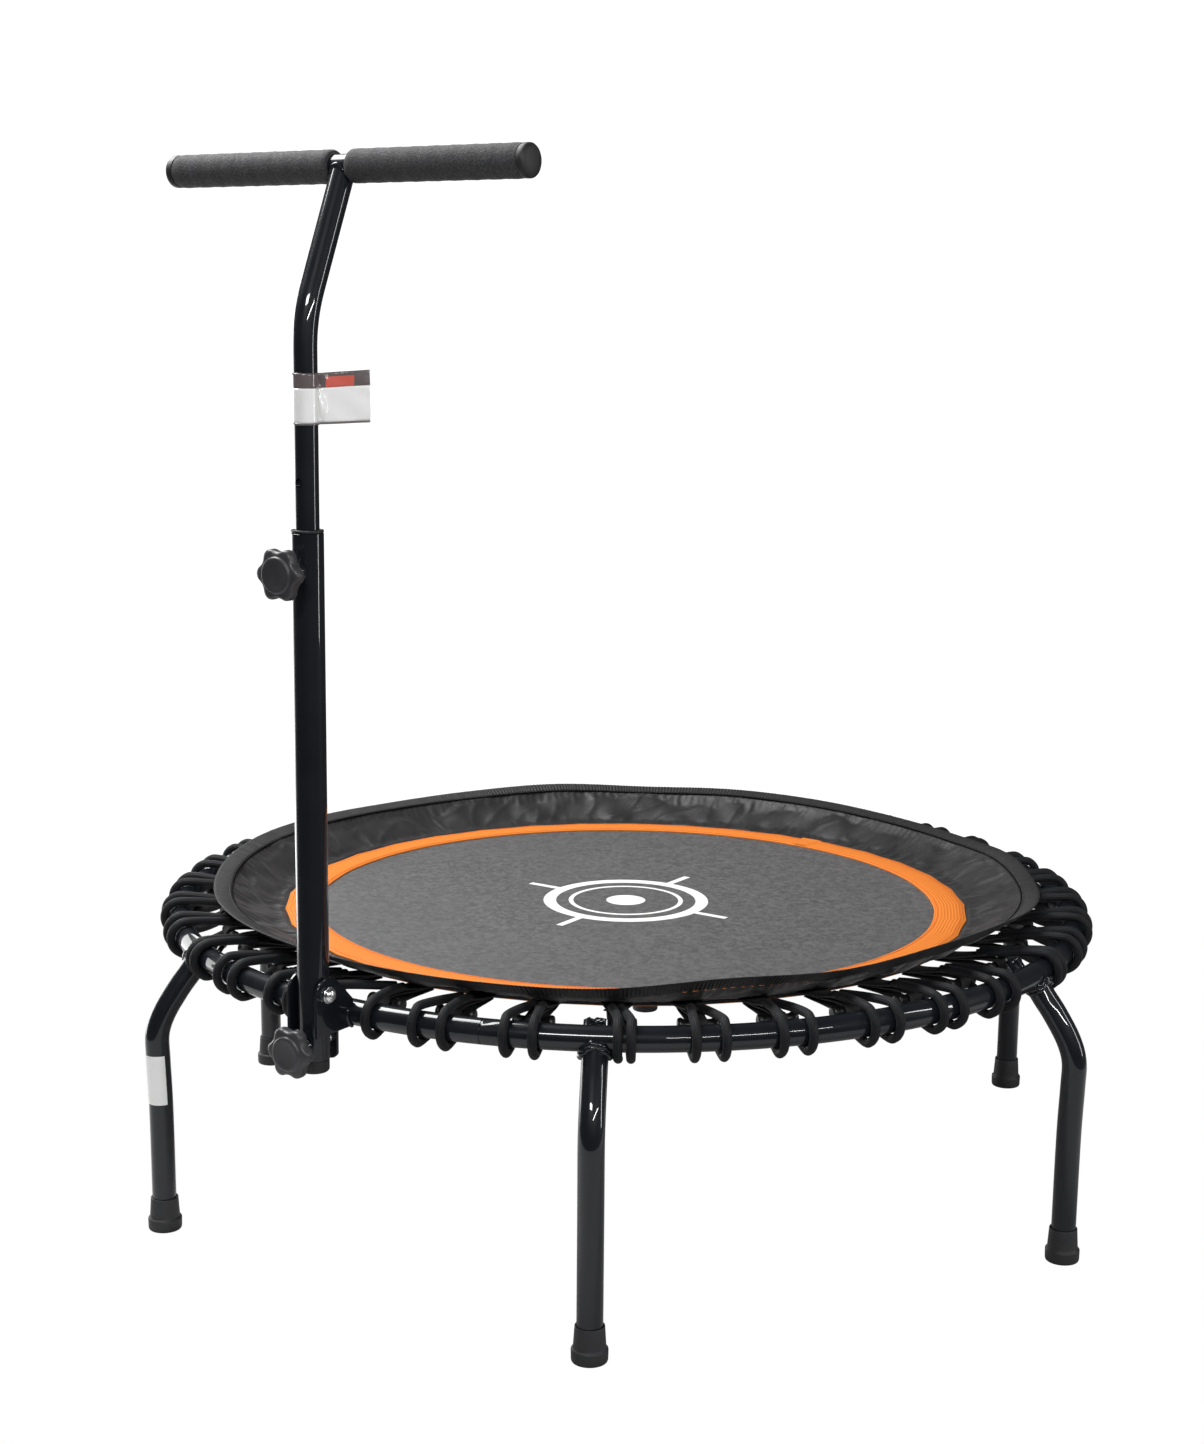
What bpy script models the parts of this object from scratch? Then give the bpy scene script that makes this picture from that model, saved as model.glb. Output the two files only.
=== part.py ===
"""Mini trampoline with bungee suspension and a folding, height-adjustable T-handle.

The part stands on the floor at z = 0 with +Z up. The handle is on the -Y side and X runs
across the handle. The frame ring is centred on X = 0, Y = RING_Y. Lengths are in metres.

Around the ring, places are given as a radius from the ring's centre, an angle in degrees
from +X, and a height. On the handle's side, REACH means the distance in front of the ring's
centre, so y = RING_Y - reach.
"""

import math

import bmesh
import bpy
from mathutils import Matrix, Vector

MM = 0.001
GAP = 0.3 * MM  # the gap kept between neighbouring solids

# Frame ring and legs
RING_OUTER = 0.508  # the ring's outer radius: a 1.016 m (40 in) trampoline
TUBE_R = 12.5 * MM
RING_R = RING_OUTER - TUBE_R
RING_Z = 0.2957
RING_STEPS = 60
LEG_COUNT = 6
FOOT_R = 0.539  # distance of a foot's axis from the ring's centre
FOOT_FLANGE_R = 17.6 * MM
FOOT_CAP_TOP = 0.035

# Handle
MAST_REACH = 0.5356
MAST_R = 15 * MM
MAST_BORE_R = 13.3 * MM
MAST_BOTTOM = 0.258
MAST_TOP = 0.754
PIVOT_Z = 0.3228
FOLD_KNOB_Z = 0.2722
HEIGHT_KNOB_Z = 0.7192
HOLE_PITCH = 0.080
RISER_R = 11.15 * MM
RISER_BORE_R = 9.6 * MM
RISER_BOTTOM = 0.50
RISER_BEND_Z = 0.945
CROSSBAR_REACH = 0.4785
CROSSBAR_Z = 1.0798
CROSSBAR_R = 11 * MM
CROSSBAR_HALF = 0.203
GRIP_R = 15.5 * MM
GRIP_START = 11 * MM

# Knobs
KNOB_R = 25.2 * MM
KNOB_THICK = 14 * MM
KNOB_LOBES = 6
STUD_R = 4 * MM
STUD_HOLE_R = STUD_R + GAP
HEIGHT_KNOB_FACE = 0.581  # reach of the knob's outer face
FOLD_KNOB_FACE = 0.577

# Bed
MAT_R = 0.3818
MAT_TOP = 0.2972
MAT_THICK = 2 * MM
BAND_WIDTH = 36 * MM
BAND_THICK = 1.8 * MM
CORD_R = 4.5 * MM
CORD_WRAP_R = TUBE_R + CORD_R + 1.5 * MM  # the cord's centre line round the ring tube
LOOPS_PER_BAY = 6
SKIRT_INNER_R = 0.3826
SKIRT_OUTER_R = 0.4408
SKIRT_THICK = 2.2 * MM
BINDING_OUTER_R = 0.4600
BINDING_THICK = 3 * MM

# The ring sits a little behind the part's middle, because the knobs reach out in front.
CORD_REACH = RING_R + CORD_WRAP_R + CORD_R
RING_Y = (HEIGHT_KNOB_FACE - CORD_REACH) / 2

# Heights of the cover's seam and of the binding's free edge at every 15 degrees, from +X over +Y.
RIM_STEP = 15
SEAM_HEIGHTS_MM = (
    *(328, 326, 324, 327, 323, 324, 327, 329),
    *(327, 330, 327, 326, 327, 327, 326, 322),
    *(322, 321, 319, 318, 318, 326, 326, 328),
)
EDGE_HEIGHTS_MM = (
    *(344, 334, 327, 332, 327, 328, 332, 334),
    *(332, 336, 333, 331, 333, 334, 331, 327),
    *(329, 331, 331, 331, 332, 341, 339, 345),
)


# ---------------------------------------------------------------- scene and materials


def clear_scene():
    for obj in list(bpy.data.objects):
        bpy.data.objects.remove(obj, do_unlink=True)


def make_material(name, colour, roughness, metallic=0.0):
    material = bpy.data.materials.new(name)
    material.use_nodes = True
    shader = material.node_tree.nodes["Principled BSDF"]
    shader.inputs["Base Color"].default_value = (*colour, 1.0)
    shader.inputs["Roughness"].default_value = roughness
    shader.inputs["Metallic"].default_value = metallic
    return material


MATERIAL_LOOKS = {
    "black_paint": ((0.012, 0.012, 0.013), 0.22, 0.0),
    "foot_rubber": ((0.020, 0.020, 0.021), 0.75, 0.0),
    "chrome_bolt": ((0.75, 0.75, 0.76), 0.15, 1.0),
    "zinc_steel": ((0.52, 0.53, 0.55), 0.35, 1.0),
    "knob_plastic": ((0.022, 0.022, 0.024), 0.55, 0.0),
    "guide_plastic": ((0.025, 0.025, 0.027), 0.5, 0.0),
    "grip_foam": ((0.024, 0.024, 0.025), 0.9, 0.0),
    "cap_plastic": ((0.018, 0.018, 0.019), 0.4, 0.0),
    "mat_weave": ((0.075, 0.075, 0.077), 0.85, 0.0),
    "orange_webbing": ((0.85, 0.23, 0.03), 0.8, 0.0),
    "skirt_fabric": ((0.055, 0.055, 0.058), 0.55, 0.0),
    "binding_tape": ((0.014, 0.014, 0.015), 0.85, 0.0),
    "bungee_cord": ((0.016, 0.016, 0.018), 0.8, 0.0),
    "tag_film": ((0.80, 0.80, 0.80), 0.25, 0.0),
}


# ---------------------------------------------------------------- places


def around(radius, degrees, height):
    """A point at this radius and angle from the ring's centre."""
    angle = math.radians(degrees)
    return Vector((radius * math.cos(angle), RING_Y + radius * math.sin(angle), height))


def front(reach, height, x=0.0):
    """A point on the handle's side."""
    return Vector((x, RING_Y - reach, height))


def rim_height(heights, degrees):
    """A smooth closed curve through heights listed round the rim, in metres."""
    count = len(heights)
    place = (degrees % 360) / RIM_STEP
    index = int(place)
    t = place - index
    a, b, c, d = (heights[(index + k) % count] for k in (-1, 0, 1, 2))
    bend = 2 * a - 5 * b + 4 * c - d
    twist = 3 * b - a - 3 * c + d
    return MM * (b + t * (c - a + t * (bend + t * twist)) / 2)


# ---------------------------------------------------------------- mesh building


def skin_rings(bm, rings, closed):
    """Quads between rings of vertices that hold the same number of points."""
    pairs = list(zip(rings, rings[1:]))
    if closed:
        pairs.append((rings[-1], rings[0]))
    for low, high in pairs:
        for i in range(len(low)):
            j = (i + 1) % len(low)
            bm.faces.new((low[i], low[j], high[j], high[i]))


def tube_mesh(line, radii, sides, closed=False, turn=0.5):
    """A round bar along a line; radii is one radius or one for each point."""
    bm = bmesh.new()
    count = len(line)
    side = None
    rings = []
    for i, point in enumerate(line):
        after = line[(i + 1) % count] if closed else line[min(i + 1, count - 1)]
        before = line[i - 1] if closed else line[max(i - 1, 0)]
        along = (after - before).normalized()
        if side is None:
            side = along.cross(Vector((0, 0, 1)))
            if side.length < 0.1:
                side = along.cross(Vector((0, 1, 0)))
        side = (side - side.dot(along) * along).normalized()
        up = along.cross(side)
        radius = radii if isinstance(radii, float) else radii[i]
        angles = [2 * math.pi * (k + turn) / sides for k in range(sides)]
        ring = [point + radius * (math.cos(a) * side + math.sin(a) * up) for a in angles]
        rings.append([bm.verts.new(v) for v in ring])
    skin_rings(bm, rings, closed)
    if not closed:
        bm.faces.new(rings[0])
        bm.faces.new(rings[-1])
    return bm


def turned_mesh(profile, sides, turn=0.5):
    """A closed (radius, height) outline turned about Z; it may touch the axis."""
    bm = bmesh.new()
    rings = []
    for radius, height in profile:
        if radius == 0:
            rings.append([bm.verts.new((0, 0, height))])
            continue
        angles = [2 * math.pi * (k + turn) / sides for k in range(sides)]
        ring = [(radius * math.cos(a), radius * math.sin(a), height) for a in angles]
        rings.append([bm.verts.new(v) for v in ring])
    for low, high in zip(rings, rings[1:] + rings[:1]):
        for i in range(sides):
            j = (i + 1) % sides
            corners = [low[i % len(low)], low[j % len(low)], high[j % len(high)], high[i % len(high)]]
            corners = list(dict.fromkeys(corners))
            if len(corners) > 2:
                bm.faces.new(corners)
    return bm


def ring_solid(section, steps, start=0.0, sweep=360.0):
    """A solid swept round the ring's centre; section(degrees) gives (radius, height) points."""
    bm = bmesh.new()
    whole = sweep == 360.0
    rings = []
    for step in range(steps if whole else steps + 1):
        degrees = start + sweep * step / steps
        ring = [around(radius, degrees, height) for radius, height in section(degrees)]
        rings.append([bm.verts.new(v) for v in ring])
    skin_rings(bm, rings, whole)
    if not whole:
        bm.faces.new(rings[0])
        bm.faces.new(rings[-1])
    return bm


def prism_mesh(outline, thickness):
    """A flat outline in XY extruded up by its thickness."""
    bm = bmesh.new()
    face = bm.faces.new([bm.verts.new((x, y, 0)) for x, y in outline])
    moved = bmesh.ops.extrude_face_region(bm, geom=[face])["geom"]
    verts = [item for item in moved if isinstance(item, bmesh.types.BMVert)]
    bmesh.ops.translate(bm, verts=verts, vec=(0, 0, thickness))
    return bm


def turn_along(direction):
    """The turn that takes +Z to this direction."""
    return Vector((0, 0, 1)).rotation_difference(Vector(direction)).to_matrix().to_4x4()


FACING_FRONT = turn_along((0, -1, 0))  # the axis of the knobs: out of the front
FACING_SIDE = turn_along((1, 0, 0))  # the axis of the pivot and the crossbar


def add_object(name, bm, look=None, place=Vector(), turn=Matrix(), parent=None):
    """A named object from a bmesh whose points are relative to its place."""
    bmesh.ops.recalc_face_normals(bm, faces=bm.faces)
    mesh = bpy.data.meshes.new(name)
    bm.to_mesh(mesh)
    bm.free()
    mesh.shade_smooth()
    mesh.set_sharp_from_angle(angle=math.radians(40))
    obj = bpy.data.objects.new(name, mesh)
    bpy.context.scene.collection.objects.link(obj)
    if look:
        mesh.materials.append(bpy.data.materials[look])
    obj.matrix_world = Matrix.Translation(place) @ turn
    if parent:
        obj.parent = parent
        obj.matrix_parent_inverse = parent.matrix_world.inverted()
    return obj


def add_axis(name, place, parent=None):
    """An empty on a joint's axis; the moving pieces hang from it."""
    empty = bpy.data.objects.new(name, None)
    empty.empty_display_size = 0.05
    bpy.context.scene.collection.objects.link(empty)
    if parent:
        empty.parent = parent
        place = place - parent.matrix_world.translation
    empty.location = place
    bpy.context.view_layer.update()
    return empty


def hide_guide(obj):
    obj.hide_render = True
    obj.display_type = "WIRE"
    return obj


def add_cutter(name, bm, place=Vector(), turn=Matrix()):
    return hide_guide(add_object(name, bm, place=place, turn=turn))


def combine(obj, other, operation):
    modifier = obj.modifiers.new(other.name, "BOOLEAN")
    modifier.operation = operation
    modifier.object = other
    modifier.solver = "EXACT"


def cut(obj, *cutters):
    for cutter in cutters:
        combine(obj, cutter, "DIFFERENCE")


def rod_profile(radius, length, start=0.0):
    return ((0, start), (radius, start), (radius, start + length), (0, start + length))


def sleeve_profile(inner, outer, start, end):
    return ((inner, start), (outer, start), (outer, end), (inner, end))


# ---------------------------------------------------------------- frame


def ring_section(radius, sides):
    """A circle round the ring tube's centre line, as (radius, height) points."""
    angles = [2 * math.pi * (k + 0.5) / sides for k in range(sides)]
    return [(RING_R + radius * math.cos(a), RING_Z + radius * math.sin(a)) for a in angles]


def build_ring():
    tube = ring_section(TUBE_R, 10)
    add_object("ring_tube", ring_solid(lambda _: tube, RING_STEPS), "black_paint")
    room = ring_section(TUBE_R + GAP, 10)
    return add_cutter("ring_room", ring_solid(lambda _: room, RING_STEPS))


def leg_line():
    """The leg's centre line from its weld to its foot, in the XZ plane."""
    upper = [(0.4975, 0.2870), (0.5075, 0.2735), (0.5190, 0.2590), (0.5345, 0.2350)]
    lower = [(0.5420, 0.2130), (0.5418, 0.1850), (0.5400, 0.1300), (FOOT_R, 5.3 * MM)]
    return [Vector((radius, 0, height)) for radius, height in upper + lower]


def build_legs(ring_room):
    collar = 15 * MM
    radii = [collar, collar] + [TUBE_R] * 6
    for number in range(LEG_COUNT):
        turn = Matrix.Rotation(math.radians(360 / LEG_COUNT * number), 4, "Z")
        centre = Vector((0, RING_Y, 0))
        leg = tube_mesh(leg_line(), radii, 10, turn=0.0)
        obj = add_object(f"leg_{number + 1}", leg, "black_paint", centre, turn)
        cut(obj, ring_room)


def build_foot_caps():
    outside = ((0, 0), (17.2 * MM, 0), (FOOT_FLANGE_R, 13 * MM), (15.5 * MM, 13.6 * MM))
    bore = TUBE_R + 2 * GAP
    mouth = ((14.2 * MM, FOOT_CAP_TOP), (bore, FOOT_CAP_TOP), (bore, 5 * MM), (0, 5 * MM))
    for number in range(LEG_COUNT):
        place = around(FOOT_R, 360 / LEG_COUNT * number, 0)
        add_object(f"foot_cap_{number + 1}", turned_mesh(outside + mouth, 16), "foot_rubber", place)


def build_bracket(ring_room, pivot_room):
    """Two ears welded to the ring, and a web behind the mast with a tongue for the lower stud."""
    ear_x = MAST_R + 0.4 * MM
    ear_thick = 3 * MM
    round_r = 17 * MM
    ring_end = 0.500
    foot_z = 0.284
    arc = [math.radians(angle) for angle in range(0, 136, 27)]
    crown = [(MAST_REACH + round_r * math.cos(a), PIVOT_Z + round_r * math.sin(a)) for a in arc]
    ear = [(MAST_REACH + round_r, foot_z), *crown, (ring_end, 0.311), (ring_end, foot_z)]
    # The ear's outline lies in the YZ plane and is thickened along X.
    stand_up = Matrix(((0, 0, 1, 0), (-1, 0, 0, 0), (0, 1, 0, 0), (0, 0, 0, 1)))
    bracket = add_object("mast_bracket", prism_mesh(ear, ear_thick), "black_paint", front(0, 0, ear_x), stand_up)
    other_x = -ear_x - ear_thick
    other = add_cutter("bracket_ear_far", prism_mesh(ear, ear_thick), front(0, 0, other_x), stand_up)
    half, tongue, low, top = ear_x + 2 * MM, 10 * MM, 0.252, 0.309
    web = [(-half, foot_z + MM), (-tongue, foot_z + MM), (-tongue, low), (tongue, low)]
    web += [(tongue, foot_z + MM), (half, foot_z + MM), (half, top), (-half, top)]
    plate = add_cutter("bracket_web", prism_mesh(web, 3 * MM), front(0.5115, 0), FACING_FRONT)
    room = turned_mesh(rod_profile(STUD_R + 2 * MM, 0.02), 16)
    stud_room = add_cutter("tongue_room", room, front(0.503, FOLD_KNOB_Z), FACING_FRONT)
    combine(bracket, other, "UNION")
    combine(bracket, plate, "UNION")
    cut(bracket, ring_room, pivot_room, stud_room)


def build_pivot(pivot_room):
    """Bolt, washers and nut; the head is on the +X side."""
    centre = front(MAST_REACH, PIVOT_Z)
    grip = 18.4 * MM  # outer face of an ear
    washer = 1.2 * MM
    head = grip + washer + 2 * GAP
    bolt = ((0, -27.6 * MM), (STUD_R, -27.6 * MM), (STUD_R, head), (6.8 * MM, head), (6.6 * MM, head + 2 * MM))
    dome = ((4.6 * MM, head + 4.2 * MM), (0, head + 5 * MM))
    add_object("pivot_bolt", turned_mesh(bolt + dome, 16), "chrome_bolt", centre, FACING_SIDE)
    ring = turned_mesh(sleeve_profile(STUD_HOLE_R, 8 * MM, grip + GAP, grip + GAP + washer), 16)
    add_object("pivot_washer_head", ring, "chrome_bolt", centre, FACING_SIDE)
    ring = turned_mesh(sleeve_profile(STUD_HOLE_R, 8 * MM, -grip - GAP - washer, -grip - GAP), 16)
    add_object("pivot_washer_nut", ring, "chrome_bolt", centre, FACING_SIDE)
    hexagon = turned_mesh(rod_profile(7.5 * MM, 6.5 * MM, -head - 6.5 * MM), 6)
    nut = add_object("pivot_nut", hexagon, "chrome_bolt", centre, FACING_SIDE)
    cut(nut, pivot_room)


# ---------------------------------------------------------------- handle


def build_mast(fold_axis, pivot_room):
    centre = front(MAST_REACH, 0)
    tube = turned_mesh(sleeve_profile(MAST_BORE_R, MAST_R, MAST_BOTTOM, MAST_TOP), 24)
    mast = add_object("lower_mast_tube", tube, "black_paint", centre, parent=fold_axis)
    through = turned_mesh(rod_profile(STUD_HOLE_R, 40 * MM, -20 * MM), 12)
    fold_room = add_cutter("fold_stud_room", through, front(MAST_REACH, FOLD_KNOB_Z), FACING_FRONT)
    one_wall = turned_mesh(rod_profile(STUD_HOLE_R, 18 * MM), 12)
    height_room = add_cutter("height_stud_room", one_wall, front(MAST_REACH, HEIGHT_KNOB_Z), FACING_FRONT)
    cut(mast, pivot_room, fold_room, height_room)

    plug_r = MAST_BORE_R - GAP
    cap = ((0, 0.246), (13.0 * MM, 0.246), (14.3 * MM, 0.248), (14.3 * MM, MAST_BOTTOM - GAP))
    plug = ((plug_r, MAST_BOTTOM - GAP), (plug_r, 0.266), (0, 0.266))
    add_object("mast_end_cap", turned_mesh(cap + plug, 24), "cap_plastic", centre, parent=fold_axis)

    bore = RISER_R + 0.35 * MM
    flange_top = MAST_TOP + 3 * MM
    body = ((bore, MAST_TOP - 50 * MM), (plug_r, MAST_TOP - 50 * MM), (plug_r, MAST_TOP + GAP))
    flange = ((MAST_R, MAST_TOP + GAP), (MAST_R, flange_top - MM), (MAST_R - MM, flange_top), (bore, flange_top))
    bush = add_object("mast_guide_bush", turned_mesh(body + flange, 24), "guide_plastic", centre, parent=fold_axis)
    cut(bush, height_room)


def build_boss(name, height, parent):
    """The threaded boss welded to the mast's front, saddled on its wall."""
    boss = turned_mesh(sleeve_profile(STUD_HOLE_R, 8 * MM, 11 * MM, 20 * MM), 16)
    obj = add_object(name, boss, "black_paint", front(MAST_REACH, height), FACING_FRONT, parent)
    wall = turned_mesh(rod_profile(MAST_R + GAP, 30 * MM, -15 * MM), 24)
    cut(obj, add_cutter(name + "_room", wall, front(MAST_REACH, height)))


def build_knob(name, stud_name, height, face, tip, parent, stud_parent):
    """A lobed knob on its stud. Its axis points out of the front; face and tip are reaches."""
    back = face - KNOB_THICK
    neck_r, neck = 9.5 * MM, 6 * MM
    count = KNOB_LOBES * 5
    bm = bmesh.new()
    rings = []
    for depth, shrink in ((0, 0.90), (2 * MM, 1), (KNOB_THICK - 3 * MM, 1), (KNOB_THICK, 0.86)):
        ring = []
        for i in range(count):
            angle = 2 * math.pi * i / count
            radius = KNOB_R * shrink * (0.93 + 0.07 * math.cos(KNOB_LOBES * angle))
            ring.append(bm.verts.new((radius * math.cos(angle), radius * math.sin(angle), depth)))
        rings.append(ring)
    skin_rings(bm, rings, False)
    bm.faces.new(rings[0])
    bm.faces.new(rings[-1])
    head = add_object(name, bm, "knob_plastic", front(back, height), FACING_FRONT, parent)
    collar = turned_mesh(rod_profile(neck_r, neck + 3 * MM, -neck), 20)
    combine(head, hide_guide(add_object(name + "_neck", collar, None, front(back, height), FACING_FRONT)), "UNION")
    hole = turned_mesh(rod_profile(STUD_HOLE_R, neck + 9 * MM, -neck - MM), 12)
    cut(head, add_cutter(name + "_bore", hole, front(back, height), FACING_FRONT))
    length = back + 7 * MM - tip
    stud = turned_mesh(rod_profile(STUD_R, length), 12)
    add_object(stud_name, stud, "zinc_steel", front(tip, height), FACING_FRONT, stud_parent)


def riser_line():
    """Straight up, a bend of about 23 degrees towards the bed, and straight to the crossbar."""
    top = Vector((0, MAST_REACH - CROSSBAR_REACH, CROSSBAR_Z))
    bend = Vector((0, 0, RISER_BEND_Z))
    lean = (top - bend).normalized()
    arc = 28 * MM
    line = [Vector((0, 0, RISER_BOTTOM))]
    for step in range(5):
        t = step / 4
        line.append(bend + arc * (lean * t**2 - Vector((0, 0, 1)) * (1 - t) ** 2))
    line.append(top)
    return line


def build_riser(height_axis):
    centre = front(MAST_REACH, 0)
    line = riser_line()
    riser = add_object("riser_tube", tube_mesh(line, RISER_R, 16), "black_paint", centre, parent=height_axis)
    bore_line = [line[0] - Vector((0, 0, 5 * MM)), *line[1:]]
    bore = add_cutter("riser_bore", tube_mesh(bore_line, RISER_BORE_R, 12), centre)
    bar = turned_mesh(rod_profile(CROSSBAR_R + GAP, 80 * MM, -40 * MM), 24)
    bar_room = add_cutter("crossbar_room", bar, front(CROSSBAR_REACH, CROSSBAR_Z), FACING_SIDE)
    cut(riser, bore, bar_room)
    for number in range(-2, 2):
        drill = turned_mesh(rod_profile(STUD_HOLE_R, 10 * MM, 5 * MM), 12)
        height = HEIGHT_KNOB_Z + number * HOLE_PITCH
        cut(riser, add_cutter(f"riser_hole_{number + 3}", drill, front(MAST_REACH, height), FACING_FRONT))


def build_crossbar(height_axis):
    centre = front(CROSSBAR_REACH, CROSSBAR_Z)
    tube = turned_mesh(sleeve_profile(9.4 * MM, CROSSBAR_R, -CROSSBAR_HALF, CROSSBAR_HALF), 24)
    add_object("crossbar", tube, "black_paint", centre, FACING_SIDE, height_axis)
    for side, sign in (("right", 1), ("left", -1)):
        turn = turn_along((sign, 0, 0))
        grip_end = CROSSBAR_HALF - 3 * MM
        bore = CROSSBAR_R + GAP
        grip = ((bore, GRIP_START), (14.3 * MM, GRIP_START), (GRIP_R, GRIP_START + 2 * MM))
        grip += ((GRIP_R, grip_end), (bore, grip_end))
        add_object(f"grip_{side}", turned_mesh(grip, 24), "grip_foam", centre, turn, height_axis)
        plug_r = 9.0 * MM
        rim = CROSSBAR_HALF + GAP
        cap = ((0, rim - 12 * MM), (plug_r, rim - 12 * MM), (plug_r, rim), (15.2 * MM, rim))
        dome = ((15.2 * MM, rim + 2 * MM), (13.5 * MM, rim + 4.4 * MM), (8 * MM, rim + 6.4 * MM), (0, rim + 7 * MM))
        add_object(f"crossbar_cap_{side}", turned_mesh(cap + dome, 24), "cap_plastic", centre, turn, height_axis)


def build_tag(height_axis):
    """The film tag wrapped round the riser, with a flag that stands out over the bed."""
    low, high = 0.851, 0.897
    film = 0.5 * MM
    inner = RISER_R + GAP
    centre = front(MAST_REACH, 0)
    wrap = turned_mesh(rod_profile(inner + film, high - low, low), 24)
    tag = add_object("riser_tag", wrap, "tag_film", centre, parent=height_axis)
    turn = Matrix.Rotation(math.radians(63), 4, "Z")
    flag = prism_mesh(((8 * MM, -film), (64 * MM, -film), (64 * MM, film), (8 * MM, film)), high - low)
    combine(tag, add_cutter("tag_flag", flag, front(MAST_REACH, low), turn), "UNION")
    room = turned_mesh(rod_profile(inner, 0.1, low - 0.02), 24)
    cut(tag, add_cutter("tag_room", room, centre))


# ---------------------------------------------------------------- bed


def build_mat(bounce_axis):
    mat = turned_mesh(rod_profile(MAT_R, MAT_THICK, MAT_TOP - MAT_THICK), RING_STEPS, turn=0)
    centre = Vector((0, RING_Y, 0))
    add_object("jump_mat", mat, "mat_weave", centre, parent=bounce_axis)
    low = MAT_TOP + GAP
    band = turned_mesh(sleeve_profile(MAT_R - BAND_WIDTH, MAT_R, low, low + BAND_THICK), RING_STEPS, turn=0)
    add_object("mat_edge_band", band, "orange_webbing", centre, parent=bounce_axis)


def skirt_section(degrees):
    """The cover rises steeply off the band and flattens towards its seam."""
    low = MAT_TOP + 1.9 * MM
    rise = rim_height(SEAM_HEIGHTS_MM, degrees) - low
    top, bottom = [], []
    for s in (0, 0.4, 1):
        radius = SKIRT_INNER_R + s * (SKIRT_OUTER_R - SKIRT_INNER_R)
        height = low + rise * (1 - (1 - s) ** 1.6)
        top.append((radius, height + SKIRT_THICK / 2))
        bottom.append((radius, height - SKIRT_THICK / 2))
    return bottom + top[::-1]


def binding_section(degrees):
    """The gathered elastic tape that flares outward from the cover's seam."""
    seam = rim_height(SEAM_HEIGHTS_MM, degrees)
    edge = rim_height(EDGE_HEIGHTS_MM, degrees)
    inner = SKIRT_OUTER_R + GAP
    half = BINDING_THICK / 2
    fold = BINDING_OUTER_R - half
    under = [(inner, seam - half), (fold, edge - half)]
    over = [(fold, edge + half), (inner, seam + half)]
    return [*under, (BINDING_OUTER_R, edge), *over]


def build_skirt():
    add_object("skirt", ring_solid(skirt_section, RING_STEPS), "skirt_fabric")
    add_object("skirt_binding", ring_solid(binding_section, RING_STEPS), "binding_tape")


def strand_angles(centre):
    """Where a loop's two strands cross the ring, in degrees."""
    beside_leg = 60 * round(centre / 60)
    if centre == -88 or centre == 272:
        return centre - 5.5, centre + 2.7  # this loop straddles the mast's bracket
    if 0 < centre - beside_leg < 3:
        return beside_leg + 2.45, beside_leg + 3.8  # pushed along the ring by the leg's weld
    return centre - 1.6, centre + 1.6


def strand_line(tab_degrees, ring_degrees, toggle_degrees):
    """One strand: out of the tab, over and round the ring tube, and back to the toggle."""
    line = [around(0.432, tab_degrees, 0.3050)]
    for degrees in (94, 50, 5, -40, -86):
        turn = math.radians(degrees)
        radius = RING_R + CORD_WRAP_R * math.cos(turn)
        line.append(around(radius, ring_degrees, RING_Z + CORD_WRAP_R * math.sin(turn)))
    line.append(around(0.447, toggle_degrees, 0.2880))
    return line


def add_loop_pieces(name, centre, pieces):
    """A tab, a toggle and the cord's two strands, as guides that the set's union reads."""
    for side, ring_degrees in zip((-1, 1), strand_angles(centre)):
        line = strand_line(centre + side * 0.5, ring_degrees, centre + side * 1.7)
        pieces.append(hide_guide(add_object(f"{name}_cord{side}", tube_mesh(line, CORD_R, 4))))
    toggle_line = [around(0.447, centre - 2.7, 0.2880), around(0.447, centre + 2.7, 0.2880)]
    pieces.append(hide_guide(add_object(name + "_toggle", tube_mesh(toggle_line, 7 * MM, 6))))
    half_in, half_out, thick = 2.65, 1.3, 3 * MM
    bm = bmesh.new()
    rings = []
    for radius, height, half in ((0.3855, MAT_TOP - 2.3 * MM, half_in), (0.440, 0.3057, half_out)):
        places = ((-half, -1), (half, -1), (half, 1), (-half, 1))
        ring = [around(radius, centre + turn, height + side * thick / 2) for turn, side in places]
        rings.append([bm.verts.new(v) for v in ring])
    skin_rings(bm, rings, False)
    bm.faces.new(rings[0])
    bm.faces.new(rings[-1])
    pieces.append(hide_guide(add_object(name + "_tab", bm)))


def build_bungees():
    """Each bay between two legs has six loops on one webbing strip sewn to the mat's edge."""
    low, high = MAT_TOP - 4.5 * MM, MAT_TOP - 0.8 * MM
    bay = 360 / LEG_COUNT
    strip = ((SKIRT_INNER_R, low), (0.388, low), (0.388, high), (SKIRT_INNER_R, high))
    for number in range(LEG_COUNT):
        name = f"bungee_set_{number + 1}"
        start = bay * number - 3
        solid = ring_solid(lambda _: strip, 10, start + 0.05, bay - 0.1)
        obj = add_object(name, solid, "bungee_cord")
        pieces = []
        for loop in range(LOOPS_PER_BAY):
            add_loop_pieces(f"{name}_{loop + 1}", bay * number + 2 + 10 * loop, pieces)
        group = bpy.data.collections.new(name)
        for piece in pieces:
            group.objects.link(piece)
        modifier = obj.modifiers.new("pieces", "BOOLEAN")
        modifier.operation = "UNION"
        modifier.operand_type = "COLLECTION"
        modifier.collection = group
        modifier.solver = "EXACT"


# ---------------------------------------------------------------- assembly


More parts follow.
